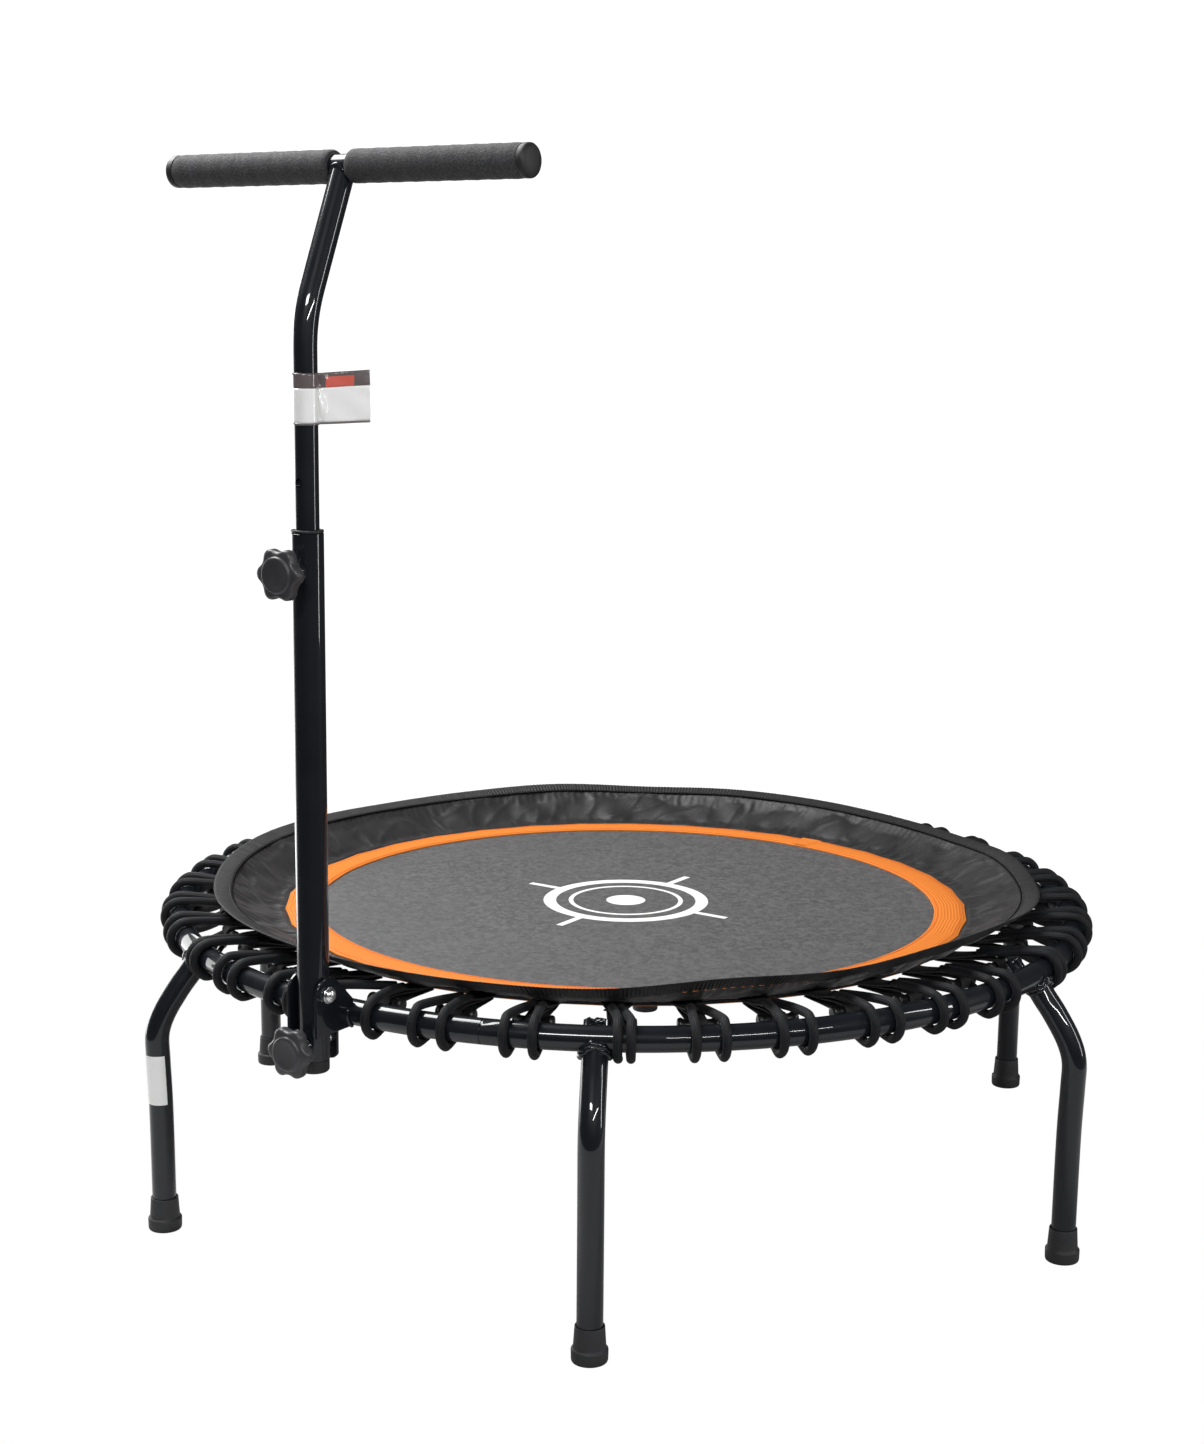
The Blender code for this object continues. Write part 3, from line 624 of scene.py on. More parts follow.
def leg_weld_line():
    """Where the leg's surface meets the ring tube, in the leg's own frame."""
    start = LEG_LINE[0]
    axis = (Vector((LEG_PATH[1][0], 0, LEG_PATH[1][1])) - start).normalized()
    side = Vector((0, 1, 0))
    out = axis.cross(side)
    points = []
    for turn in turns(56):
        edge = start + 1.1 * TUBE_R * (side * cos(turn) + out * sin(turn))
        low, high = -0.03, 0.05
        for _ in range(24):
            middle = (low + high) / 2
            p = edge + axis * middle
            inside = hypot(hypot(p.x, p.y) - RING_R, p.z - RING_Z) < TUBE_R + 0.6 * MM
            low, high = (middle, high) if inside else (low, middle)
        points.append(edge + axis * low)
    return points


def build_legs():
    """Bent tubes with a doubled weld bead, each with a ribbed rubber cap that has a broad foot."""
    bead = leg_weld_line()
    second = [p + Vector((1.4, 0, -3.4)) * MM for p in bead]
    outside = mm((0, 0), (16.6, 0), (17.4, 2), (17.6, 12.4), (15.6, 13.8), (14.9, 24))
    outside += [(14.2 * MM, CAP_TOP), (12.8 * MM, CAP_TOP), (12.6 * MM, CAP_TOP - 4 * MM)]
    tread = mm((0, 0.9), (5, 0.9), (5, 0), (9, 0), (9, 0.9), (12, 0.9), (12, 0))
    cap = [*tread, *rounded(outside, 1.2 * MM)[1:]]
    for number in range(LEG_COUNT):
        matrix = RING_CENTRE @ Matrix.Rotation(radians(60 * number), 4, "Z")
        shape = Shape().skin(tube_rings(LEG_LINE, TUBE_R, 28, Vector((0, 1, 0))), caps=True, matrix=matrix)
        shape.skin(weld_bead(bead, 3.1 * MM, 0.32, number), loop=True, matrix=matrix)
        shape.skin(weld_bead(second, 2.7 * MM, 0.42, number + 9), loop=True, matrix=matrix)
        place_piece(f"leg_{number + 1}_tube", shape, "frame", f"leg_{number + 1}", "black_paint", 50)
    for number in range(LEG_COUNT):
        shape = lathe(cap, 56, shifted(around(FOOT_R, 60 * number, 0)))
        place_piece(f"foot_{number + 1}", shape, "frame", f"foot_cap_{number + 1}", "foot_rubber")


def build_leg_label():
    """A blank paper label wrapped round the left front leg."""
    line = [p for p in LEG_LINE if LABEL_LOW - 0.01 < p.z < LABEL_HIGH + 0.01]
    rows, columns = 14, 20
    rings = []
    for r in range(rows + 1):
        z = LABEL_LOW + (LABEL_HIGH - LABEL_LOW) * r / rows
        above = min(line, key=lambda p: abs(p.z - z))
        ring = []
        for c in range(columns + 1):
            reach = TUBE_R + 0.35 * MM + 0.12 * MM * noise.noise(Vector((r * 0.6, c * 0.4, 0)))
            ring.append(polar(reach, radians(-12 + 118 * c / columns), z) + Vector((above.x, 0, 0)))
        rings.append(ring)
    matrix = RING_CENTRE @ Matrix.Rotation(radians(LABEL_LEG), 4, "Z")
    shape = Shape().skin(rings, round_=False, matrix=matrix)
    place_piece("leg_label", shape, "frame", None, None, looks=["blank_label"])


def build_bracket():
    """Two rounded ears, and the web behind the mast with its tongue, as one welded piece."""
    round_r = 17 * MM
    crown = arc(MAST_REACH, PIVOT_Z, round_r, range(0, 136, 9))
    ear = [(MAST_REACH + round_r, EAR_FOOT_Z), *crown, (0.500, 0.311), (0.500, EAR_FOOT_Z)]
    shape = Shape()
    for x in (EAR_X, -EAR_X - EAR_THICK):
        shape.slab(ear, EAR_THICK, shifted((x, RING_Y, 0)) @ STANDING)
    half, low_z, top, tip = EAR_X + 1 * MM, 0.252, 0.309, 10 * MM
    tongue = [(tip, EAR_FOOT_Z + 3 * MM), (tip, low_z + 6 * MM)]
    tongue += [(tip * cos(a), low_z + 8 * MM - 8 * MM * sin(a)) for a in (0.5, 1.0, tau / 4)]
    outline = [(half, top), (half, EAR_FOOT_Z + MM), *tongue]
    outline += [(-x, z) for x, z in reversed(outline) if x > 0.1 * MM]
    shape.slab(outline, EAR_THICK, shifted(front(TONGUE_REACH, 0)) @ FACING_FRONT)
    bracket = place_piece("bracket", shape, "frame", "mast_bracket", "black_paint")
    corners = {"limit_method": "ANGLE", "angle_limit": radians(30), "harden_normals": True}
    modify(bracket, "BEVEL", width=0.7 * MM, segments=3, **corners)
    welds = Shape()
    reach = TUBE_R + 0.8 * MM
    for side in (-1, 1):
        for offset in (0, EAR_THICK):
            line, radii = [], []
            for k in range(15):
                angle = radians(-66 + 92 * k / 14)
                x = side * (EAR_X + offset)
                line.append(front(RING_R + reach * cos(angle), RING_Z + reach * sin(angle), x))
                lump = abs(noise.noise(Vector((k * 0.9, side, offset * 900))))
                radii.append((1.6 + 0.7 * lump) * MM * (0.6 if k in (0, 14) else 1))
            welds.skin(tube_rings(line, radii, 10), caps=True)
    place_piece("bracket_welds", welds, "frame", None, "black_paint", 60)


def threaded_rod(radius, start, end, pitch):
    """Rings of a rod along Z whose surface follows a helical thread."""
    steps = max(8, int((end - start) / (pitch / 6)))
    rings = []
    for step in range(steps + 1):
        z = start + (end - start) * step / steps
        edge = min(1.0, (end - z) / (0.6 * pitch) + 0.55)
        ring = []
        for k in range(20):
            phase = (z / pitch + k / 20) % 1
            depth = 0.55 * pitch * (0.5 - abs(phase - 0.5)) * 2
            ring.append(polar((radius - depth * 0.5) * edge, tau * k / 20, z))
        rings.append(ring)
    return rings


def build_pivot():
    """A domed cross-head bolt, two washers and a hexagon nut."""
    matrix = shifted(front(MAST_REACH, PIVOT_Z)) @ FACING_RIGHT
    grip, washer, gap, dome_r, face_r = 18.4 * MM, 1.2 * MM, 0.3 * MM, 6.8 * MM, 7.6 * MM
    head = grip + washer + 2 * gap
    dome = [(STUD_R, head - 5 * MM), (STUD_R, head), (dome_r, head)]
    dome += arc(0, head + 0.6 * MM, dome_r, (90 * k / 8 for k in range(9)), 4.4 * MM)
    shape = lathe(dome, 64, matrix)
    shape.skin(threaded_rod(STUD_R, -27.4 * MM, -grip, 1.25 * MM), caps=True, matrix=matrix)
    bolt = place_piece("bolt_head", shape, "frame", "pivot_bolt", "chrome_bolt")
    cross = Shape()
    for x, y in mm((1.1, 5.2), (5.2, 1.1)):
        outline = [(-x, -y), (x, -y), (x, y), (-x, y)]
        levels = ((0.5, head + 2.4 * MM), (0.6, head + 7 * MM))
        rings = [[Vector((a * s, b * s, z)) for a, b in outline] for s, z in levels]
        cross.skin(rings, caps=True, matrix=matrix)
    carve(bolt, cross)
    for name, start in (("head", grip + gap), ("nut", -grip - gap - washer)):
        end = start + washer
        profile = [(STUD_R, start), (face_r, start), (8 * MM, start + 0.3 * MM), (8 * MM, end - 0.3 * MM)]
        profile += [(face_r, end), (STUD_R, end), (STUD_R, start)]
        shape = lathe(profile, 48, matrix)
        place_piece(f"washer_{name}", shape, "frame", f"pivot_washer_{name}", "chrome_bolt")
    rings = []
    start = -head - 6.5 * MM
    for z, limit in ((start, 6.4), (start + 0.8 * MM, 7.5), (-head - 0.8 * MM, 7.5), (-head, 6.4)):
        ring = []
        for angle in turns(48):
            flat = 6.5 * MM / cos((angle + tau / 12) % (tau / 6) - tau / 12)
            ring.append(polar(min(flat, limit * MM), angle, z))
        rings.append(ring)
    shape = Shape().skin(rings, caps=True, matrix=matrix)
    place_piece("nut", shape, "frame", "pivot_nut", "chrome_bolt", 25)


def carve(obj, shape):
    """Cuts a shape out of a piece and keeps the result as its mesh."""
    tool = link("tool", shape.mesh("tool"))
    modifier = modify(obj, "BOOLEAN", operation="DIFFERENCE", solver="EXACT", object=tool, use_self=True)
    bpy.context.view_layer.update()
    evaluated = obj.evaluated_get(bpy.context.evaluated_depsgraph_get())
    mesh = bpy.data.meshes.new_from_object(evaluated)
    obj.modifiers.remove(modifier)
    obj.data = mesh
    mesh.set_sharp_from_angle(angle=radians(35))
    bpy.data.objects.remove(tool)


# ---- handle


def build_mast():
    """The lower tube, its end plug and the guide bush in its top."""
    edge, inner = 0.5 * MM, 13.3 * MM
    profile = [(inner, MAST_BOTTOM), (MAST_R - edge, MAST_BOTTOM), (MAST_R, MAST_BOTTOM + edge)]
    profile += [(MAST_R, MAST_TOP - edge), (MAST_R - edge, MAST_TOP), (inner, MAST_TOP), (inner, MAST_BOTTOM)]
    place_piece("mast", lathe(profile, 64, MAST_CENTRE), "lower_mast", "lower_mast_tube", "black_paint")

    top = MAST_BOTTOM - 0.3 * MM
    rim, neck = 14.4 * MM, 12.9 * MM
    plug = [(0, PLUG_BOTTOM), (13.2 * MM, PLUG_BOTTOM), (rim, 0.2478), (rim, top), (neck, top), (neck, 0.262)]
    shape = lathe(rounded(plug, 0.8 * MM), 56, MAST_CENTRE)
    place_piece("mast_plug", shape, "lower_mast", "mast_end_cap", "cap_plastic")

    bore, foot = RISER_R + 0.35 * MM, MAST_TOP - 0.05
    low, high = MAST_TOP + 0.3 * MM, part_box("mast_guide_bush")[1].z
    bush = [(bore, foot), (neck, foot), (neck, low), (MAST_R, low), (MAST_R, high), (bore, high)]
    bush.append((bore, foot))
    shape = lathe(rounded(bush, 0.9 * MM), 64, MAST_CENTRE)
    place_piece("guide_bush", shape, "lower_mast", "mast_guide_bush", "guide_plastic")


def build_bosses():
    """The threaded bosses on the mast's front, with their weld fillets."""
    profile = [(STUD_R + 0.2 * MM, 10 * MM), (STUD_R + 0.2 * MM, 19.4 * MM), (STUD_R + 0.8 * MM, 20 * MM)]
    profile += mm((7.4, 20), (8, 19.4), (8, 16.6), (9.0, 15.2), (9.6, 13))
    for name, node, height in (("upper", "height", HEIGHT_KNOB_Z), ("lower", "fold", FOLD_KNOB_Z)):
        shape = lathe(profile, 56, shifted(front(MAST_REACH, height)) @ FACING_FRONT)
        place_piece(f"{name}_boss", shape, "lower_mast", f"{node}_boss", "black_paint")


def build_knob(name, height):
    """A six-lobed star knob with a raised, slightly dished face, on its threaded stud."""
    knob, stud = f"{name}_knob", f"{name}_stud"
    face = RING_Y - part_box(knob)[0].y
    rings = []
    # Each row: depth in mm, size, and how far the lobes still show.
    for depth, shrink, scallop in (
        *((0.0, 0.86, 0.9), (0.5, 0.93, 1), (1.4, 0.98, 1), (3.0, 1.0, 1), (8.0, 1.0, 1), (9.6, 0.985, 1)),
        *((10.8, 0.94, 1), (11.5, 0.87, 0.9), (11.8, 0.78, 0.6), (11.9, 0.70, 0.2), (12.2, 0.665, 0)),
        *((13.2, 0.64, 0), (13.8, 0.615, 0), (14.0, 0.57, 0), (13.9, 0.50, 0), (13.5, 0.40, 0)),
        *((13.3, 0.2, 0), (13.25, 0.02, 0)),
    ):
        ring = []
        for angle in turns(144):
            wave = cos(KNOB_LOBES * angle)
            lobe = 0.915 + 0.085 * copysign(abs(wave) ** 0.8, wave)
            ring.append(polar(KNOB_R * shrink * (1 + scallop * (lobe - 1)), angle, depth * MM))
        rings.append(ring)
    matrix = shifted(front(face - KNOB_DEPTH, height)) @ FACING_FRONT
    shape = Shape().skin(rings, caps=True, matrix=matrix)
    shape.skin(turned(mm((4.4, -6), (8.6, -6), (9.5, -5), (9.5, -1.6), (11.5, 0.2)), 56), matrix=matrix)
    place_piece(f"{knob}_head", shape, knob, knob, "knob_plastic", 40)
    low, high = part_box(stud)
    rings = threaded_rod(STUD_R - 0.1 * MM, RING_Y - high.y, RING_Y - low.y, 1.5 * MM)
    shape = Shape().skin(rings, caps=True, matrix=shifted((0, RING_Y, height)) @ FACING_FRONT)
    place_piece(f"{stud}_thread", shape, stud, stud, "zinc_steel", 25)


def build_riser():
    """A tube with adjusting holes: straight up, bent 23 degrees towards the bed, then to the crossbar."""
    top = Vector((0, CROSSBAR.y - MAST_Y, CROSSBAR.z))
    bend = Vector((0, 0, RISER_BEND_Z))
    lean = (top - bend).normalized()
    line = [Vector((0, 0, RISER_BOTTOM))]
    for step in range(13):
        t = step / 12
        line.append(bend + 28 * MM * (lean * t**2 - UP * (1 - t) ** 2))
    line.append(top - lean * 4 * MM)
    outer, inner = (tube_rings(line, radius, 56) for radius in (RISER_R, 9.6 * MM))
    shape = Shape().skin([*inner[:1], *outer], matrix=MAST_CENTRE)
    shape.skin(inner[:6], matrix=MAST_CENTRE)
    riser = place_piece("riser", shape, "riser", "riser_tube", "black_paint")
    holes = Shape()
    for number in range(-2, 2):
        matrix = shifted((0, MAST_Y, HEIGHT_KNOB_Z + number * HOLE_PITCH)) @ FACING_FRONT
        holes.skin(turned(mm((4.3, 8), (4.3, 14)), 32), caps=True, matrix=matrix)
    carve(riser, holes)
    top = Vector((0, MAST_Y, 0)) + line[-1]
    lean = (line[-1] - line[-2]).normalized()
    side = Vector((1, 0, 0))
    out = lean.cross(side)
    bead = []
    for angle in turns(48):
        edge = top + (side * cos(angle) + out * sin(angle)) * (RISER_R + 0.2 * MM)
        rise = sqrt(max(0, (CROSSBAR_R + 0.6 * MM) ** 2 - (RISER_R * sin(angle)) ** 2))
        bead.append(edge - lean * (rise - 4 * MM))
    weld = Shape().skin(weld_bead(bead, 1.8 * MM, 0.4, 31), loop=True)
    place_piece("handle_weld", weld, "riser", None, "black_paint", 60)


def build_handlebar():
    """The crossbar, its two foam grips and their end caps."""
    reach = CROSSBAR_HALF
    bore = 9.4 * MM
    tube = [(bore, -reach), (CROSSBAR_R, -reach), (CROSSBAR_R, reach), (bore, reach)]
    shape = lathe(tube, 56, shifted(CROSSBAR) @ FACING_RIGHT)
    place_piece("handlebar", shape, "riser", "crossbar", "black_paint")
    start, end, rim, cap_r = 11 * MM, reach - 3 * MM, reach + 0.3 * MM, 15.2 * MM
    foam = [(CROSSBAR_R, start), (14.2 * MM, start), (GRIP_R - 0.3 * MM, start + 1.6 * MM)]
    for k in range(1, 60):
        swell = 0.15 * MM * sin(k * 0.9) + 0.1 * MM * sin(k * 2.3 + 1)
        foam.append((GRIP_R - 0.25 * MM + swell, start + 2.2 * MM + (end - start - 4 * MM) * k / 60))
    foam += [(GRIP_R - 0.6 * MM, end - 0.8 * MM), (14.2 * MM, end), (CROSSBAR_R, end)]
    cap = [(9 * MM, rim - 3.2 * MM), (15.0 * MM, rim - 2.8 * MM), (cap_r, rim), (cap_r, rim + 2 * MM)]
    for k in range(1, 9):
        angle = tau / 4 * k / 8
        cap.append((cap_r * cos(angle) ** 0.8 if k < 8 else 0, rim + 2 * MM + 5 * MM * sin(angle)))
    for side, facing in (("right", FACING_RIGHT), ("left", FACING_LEFT)):
        matrix = shifted(CROSSBAR) @ facing
        grip = place_piece(f"foam_{side}", lathe(foam, 56, matrix), "riser", f"grip_{side}", "grip_foam")
        shape = lathe(cap, 56, matrix)
        place_piece(f"end_cap_{side}", shape, "riser", f"crossbar_cap_{side}", "cap_plastic")


def build_tag():
    """A blank film tag: a collar round the riser, and a flag that is pinched at its root and tilts up."""
    centre = Vector((0, MAST_Y, 0))
    turn = radians(TAG_ANGLE)
    radius = RISER_R + 0.5 * MM
    rows, collar_steps, flag_steps = 24, 32, 40
    along, across = polar(1, turn), Vector((-sin(turn), cos(turn), 0))
    rings = []
    for r in range(rows + 1):
        level = r / rows
        z = TAG_LOW + (TAG_HIGH - TAG_LOW) * level
        ring = []
        for c in range(collar_steps + 1):
            ring.append(centre + polar(radius, turn + tau * (1 - c / collar_steps), z))
        for c in range(1, flag_steps + 1):
            share = c / flag_steps
            curl = 3.0 * MM * sin(2.4 * share) * share + 0.5 * MM * sin(9 * share + 12 * level)
            pinch = 1.6 * MM * exp(-(((share - 0.10) / 0.06) ** 2)) * sin(16 * share + 9 * level)
            tilt = 2.6 * MM * share * (0.4 + 0.6 * level)
            reach = radius + TAG_FLAG * share
            ring.append(centre + along * reach + across * (curl + pinch) + UP * (z + tilt))
        rings.append(ring)
    shape = Shape()
    split = (0, 1, 17, rows)  # rows of the dark edge, the light field and the dark header
    stripe_top, stripe_start, stripe_end = 22, 38, 59  # the stripe on the header
    for slot, (a, b) in enumerate(zip(split, split[1:])):
        shape.skin(rings[a : b + 1], slot=slot, round_=False)
    for face, slot in enumerate(shape.slots):
        row, column = divmod(face, collar_steps + flag_steps)
        if slot == 2 and row < stripe_top and stripe_start <= column <= stripe_end:
            shape.slots[face] = 3
    looks = ["tag_edge", "tag_film", "tag_header", "tag_stripe"]
    tag = place_piece("tag", shape, "riser", "riser_tag", "tag_film", looks=looks)
    modify(tag, "SOLIDIFY", thickness=0.3 * MM, offset=0.0)


# ---- mat and webbing

LOOP_STEP = 10  # degrees from one cord loop to the next
LOOP_START = 2  # degrees from +X to the first loop


def pull(degrees):
    """How far the bed's edge is drawn in between two tabs: 1 at a tab, less half way."""
    off = (degrees - LOOP_START + LOOP_STEP / 2) % LOOP_STEP - LOOP_STEP / 2
    half = radians(LOOP_STEP / 2)
    flat = cos(half) / cos(half - abs(radians(off)))
    return 1 - 1.35 * (1 - flat)


def drift(degrees, size, seed):
    """Slow noise round the bed, from -1 to 1, that closes on itself."""
    return noise.noise(around(size, degrees, seed) - Vector((0, RING_Y, 0)))


def ring_strip(section, steps=720):
    """A closed band round the ring's centre; section(degrees) gives (radius, height) points."""
    rings = []
    for k in range(steps):
        degrees = 360 * k / steps
        rings.append([around(radius, degrees, height) for radius, height in section(degrees)])
    return Shape().skin(rings, loop=True)


def build_mat():
    """The woven disc, drawn straight between the tabs; its face ripples a little near the edge."""
    steps, rows = 360, 44

    def surface(row, k, height):
        share, degrees = row / rows, 360 * k / steps
        radius = MAT_R * share * (1 + (pull(degrees) - 1) * share**8)
        ripple = 0.35 * MM * share**4 * drift(degrees, 3 + 2 * share, 7.0 + share)
        return around(radius, degrees, height - abs(ripple))

    rings = [[surface(row, k, MAT_TOP) for k in range(steps)] for row in range(1, rows + 1)]
    rings += [[surface(row, k, MAT_TOP - 1.8 * MM) for k in range(steps)] for row in range(rows, 0, -1)]
    shape = Shape().skin(rings)
    shape.cap(range(steps))
    shape.cap(range(len(shape.points) - 1, len(shape.points) - steps - 1, -1))
    mat = place_piece("mat", shape, "mat", "jump_mat", "mat_weave", 60)


def build_under_strips():
    """The black webbing under the mat's edge, and the orange webbing's lower layer below it."""

    def edge_section(degrees):
        outer, corner = MAT_R * pull(degrees) + 0.4 * MM, 0.5 * MM
        low, high, inner = MAT_TOP - 5.1 * MM, MAT_TOP - 1.9 * MM, outer - 30 * MM
        section = [(inner, low), (outer - corner, low), (outer, low + corner)]
        return [*section, (outer, high - 0.4 * MM), (outer - 0.4 * MM, high), (inner, high)]

    def under_section(degrees):
        outer, corner = MAT_R * pull(degrees) + 0.6 * MM, 0.3 * MM
        low, high = MAT_TOP - 5.9 * MM, MAT_TOP - 5.2 * MM
        inner = BAND_INNER_R + 0.6 * MM * drift(degrees, 8, 2.5)
        return [(inner, low), (outer - corner, low), (outer, low + corner), (outer, high), (inner, high)]

    place_piece("edge_strip", ring_strip(edge_section), "mat", None, "bungee_cord", 50, ["tab_webbing"])
    place_piece("under_band", ring_strip(under_section), "mat", None, "orange_webbing", 50)


def band_section(degrees):
    """The webbing's cross-section: its outer edge is pulled into corners and both edges pucker."""
    low, high = MAT_TOP + 0.15 * MM, MAT_TOP + 2.0 * MM
    outer = MAT_R * pull(degrees) - 0.25 * MM + 0.35 * MM * drift(degrees, 9, 1.5)
    inner = BAND_INNER_R + 0.5 * MM * drift(degrees, 7, 4.5) + 0.35 * MM * drift(degrees, 19, 8.5)
    crown = 0.25 * MM * drift(degrees, 12, 2.2)
    third = (outer - inner) / 3
    section = [(outer, low), (outer, high - 0.6 * MM), (outer - 0.6 * MM, high + crown)]
    section += [(outer - third, high + 0.3 * MM), (inner + third, high + 0.3 * MM - crown)]
    return section + [(inner + 0.6 * MM, high), (inner, high - 0.6 * MM), (inner, low)]


def build_band():
    shape = ring_strip(band_section)
    start, end, slant = 82.6, 85.6, 1.5  # the webbing's upper end lies over its start
    rings = []
    for k in range(13):
        ring = []
        for share in (0.01, 0.015, 0.2, 0.4, 0.6, 0.8, 0.985, 0.99):
            degrees = start + (end - start) * k / 12 + slant * share * k / 12
            outer, inner = band_section(degrees)[1][0], band_section(degrees)[-2][0]
            lift = 0.4 * MM if share in (0.01, 0.99) else (1.5 + 0.4 * min(1, k / 3)) * MM
            height = MAT_TOP + 1.6 * MM + lift * min(1, 0.2 + k / 3)
            ring.append(around(inner + (outer - inner) * share, degrees, height))
        rings.append(ring)
    shape.skin(rings, caps=True)
    band = place_piece("mat_band", shape, "mat", "mat_edge_band", "orange_webbing", 50)


def stitch_row(shape, row_r, pitch, cover, thread_r, end_at):
    """A ring of stitches that each come up, lie flat and go down; end_at(k, degrees, turn) is an end."""
    count = int(tau * row_r / pitch)
    for k in range(count):
        start, end = (end_at(k, 360 * k / count, 360 * share / count) for share in (-cover, cover))
        line = []
        for share, rise in ((0, -0.6), (0.12, 0.5), (0.5, 1.0), (0.88, 0.5), (1, -0.6)):
            line.append(start + (end - start) * share + UP * 0.25 * MM * rise)
        shape.skin(tube_rings(line, thread_r, 6, UP))


def build_stitches():
    """Rows of lock stitch along the webbing's two edges, in its own thread."""
    shape = Shape()

    def end_at(k, degrees, turn):
        radius = row_r + inset + (MAT_R * (pull(degrees) - 1) if inset < 0 else 0)
        wobble = copysign(0.12 * MM, -turn) * sin(k * 2.4)
        return around(radius + wobble, degrees + turn, MAT_TOP + 2.15 * MM)

    for row_r, inset in ((BAND_INNER_R, 3.4 * MM), (MAT_R - 1.0 * MM, -4.2 * MM)):
        stitch_row(shape, row_r, 3.6 * MM, 0.41, 0.38 * MM, end_at)
    place_piece("band_stitches", shape, "mat", None, "orange_webbing", 60, ["orange_thread"])


# ---- cover and binding

SECTORS = 18
COVER_ROWS = 30
COVER_STEPS = 1080
COVER_ROUND = tau * COVER_MID_R
COVER_CUT_WIDTH = 0.066
CREASE_HEIGHT = 0.062
CLOTH_FRAMES, CLOTH_LIMIT = 14, 4 * MM  # how long the cloth settles, and the furthest a point may move
GATHER_COUNT = 720


def clamp(value):
    return min(1.0, max(0.0, value))


def cover_profile(s, degrees):
    """The cover's calm shape: out from under the webbing, then up to the seam. s runs 0 to 1."""
    low = MAT_TOP + 0.1 * MM
    seam = rim_height(SEAM_HEIGHTS_MM, degrees)
    inner = MAT_R * pull(degrees) - 2 * MM
    rise = max(0.0, (s - 0.05) / 0.95)
    return inner + s * (SEAM_R + 0.8 * MM - inner), low + (seam - low) * (1 - (1 - rise) ** 1.18)


def ridge(u, v, length, width, slant, seed):
    """A long crease pattern: u runs round the cover and v up it."""
    c, s = cos(slant), sin(slant)
    return noise.noise(Vector(((u * c + v * s) / width, (v * c - u * s) / length, seed)))


def folds(degrees, s):
    """Height of the gathered cloth's folds, from -1 to 1; it closes on itself at 360 degrees."""
    total = 0.0
    u, v = radians(degrees) * COVER_MID_R, s * CREASE_HEIGHT
    share = max(0.0, (degrees - 345) / 15)
    for u, weight in ((u, 1 - share), (u - COVER_ROUND, share)):
        if weight == 0:
            continue
        soft = ridge(u, v, 0.090, 0.042, 0.55, 3.1)
        cross = ridge(u, v, 0.070, 0.030, -0.65, 9.7)
        fine = ridge(u, v, 0.040, 0.016, 0.35, 21.3)
        crease = 1 - abs(2.2 * ridge(u, v, 0.060, 0.028, 0.75, 14.9))
        total += weight * (0.60 * soft + 0.45 * cross + 0.14 * fine + 0.20 * max(0.0, crease) ** 3)
    return total


def gathers(degrees, s):
    """Short puckers where the cover is sewn to the elastic and where it leaves the webbing."""
    top = max(0.0, (s - 0.72) / 0.28) ** 2 * sin(radians(degrees) * 300 + 2.2 * drift(degrees, 30, 5))
    foot = max(0.0, (0.45 - s) / 0.45) * (drift(degrees, 26, 12.5) + 0.6 * drift(degrees, 11, 4.5))
    return 0.25 * MM * top + 1.9 * MM * foot


def cover_points():
    """The cover's points, row by row from the webbing to the seam."""
    rows = []
    for r in range(COVER_ROWS + 1):
        s = r / COVER_ROWS
        window = clamp((s - 0.05) / 0.25) * min(1.0, (1 - s) / 0.16)
        row = []
        for k in range(COVER_STEPS):
            degrees = 360 * k / COVER_STEPS
            radius, height = cover_profile(s, degrees)
            lift = 8.0 * MM * window * folds(degrees, s) + gathers(degrees, s) * clamp((s - 0.06) * 8)
            row.append(around(radius - 0.35 * lift, degrees, height + 0.9 * lift))
        rows.append(row)
    return rows


def relax_cover(rows):
    """Runs the cloth solver on the whole cover, held at both sewn edges, and returns its new points."""
    obj = link("cover_cloth", Shape().skin(rows).mesh("cover_cloth", closed=False))
    held = obj.vertex_groups.new(name="held")
    for r, row in enumerate(rows):
        weight = 1.0 if r < 4 or r > len(rows) - 3 else 0.0
        held.add(list(range(r * len(row), (r + 1) * len(row))), weight, "REPLACE")
    cloth = modify(obj, "CLOTH")
    for name, value in (
        *(("quality", 6), ("mass", 0.2), ("tension_stiffness", 20), ("compression_stiffness", 20)),
        *(("shear_stiffness", 8), ("bending_stiffness", 2.0), ("shrink_min", -0.015)),
        ("vertex_group_mass", "held"),
    ):
        setattr(cloth.settings, name, value)
    cloth.settings.effector_weights.gravity = 0.3
    cloth.collision_settings.use_collision = False
    scene = bpy.context.scene
    cloth.point_cache.frame_start, cloth.point_cache.frame_end = 1, CLOTH_FRAMES
    for step in range(1, CLOTH_FRAMES + 1):
        scene.frame_set(step)
    evaluated = obj.evaluated_get(bpy.context.evaluated_depsgraph_get())
    found = [Vector(v.co) for v in evaluated.data.vertices]
    scene.frame_set(1)
    bpy.data.objects.remove(obj)
    made = []
    for r, row in enumerate(rows):
        made.append([])
        for k, point in enumerate(row):
            move = found[r * len(row) + k] - point
            if move.length > CLOTH_LIMIT:
                move *= CLOTH_LIMIT / move.length
            made[-1].append(point + move)
    return made


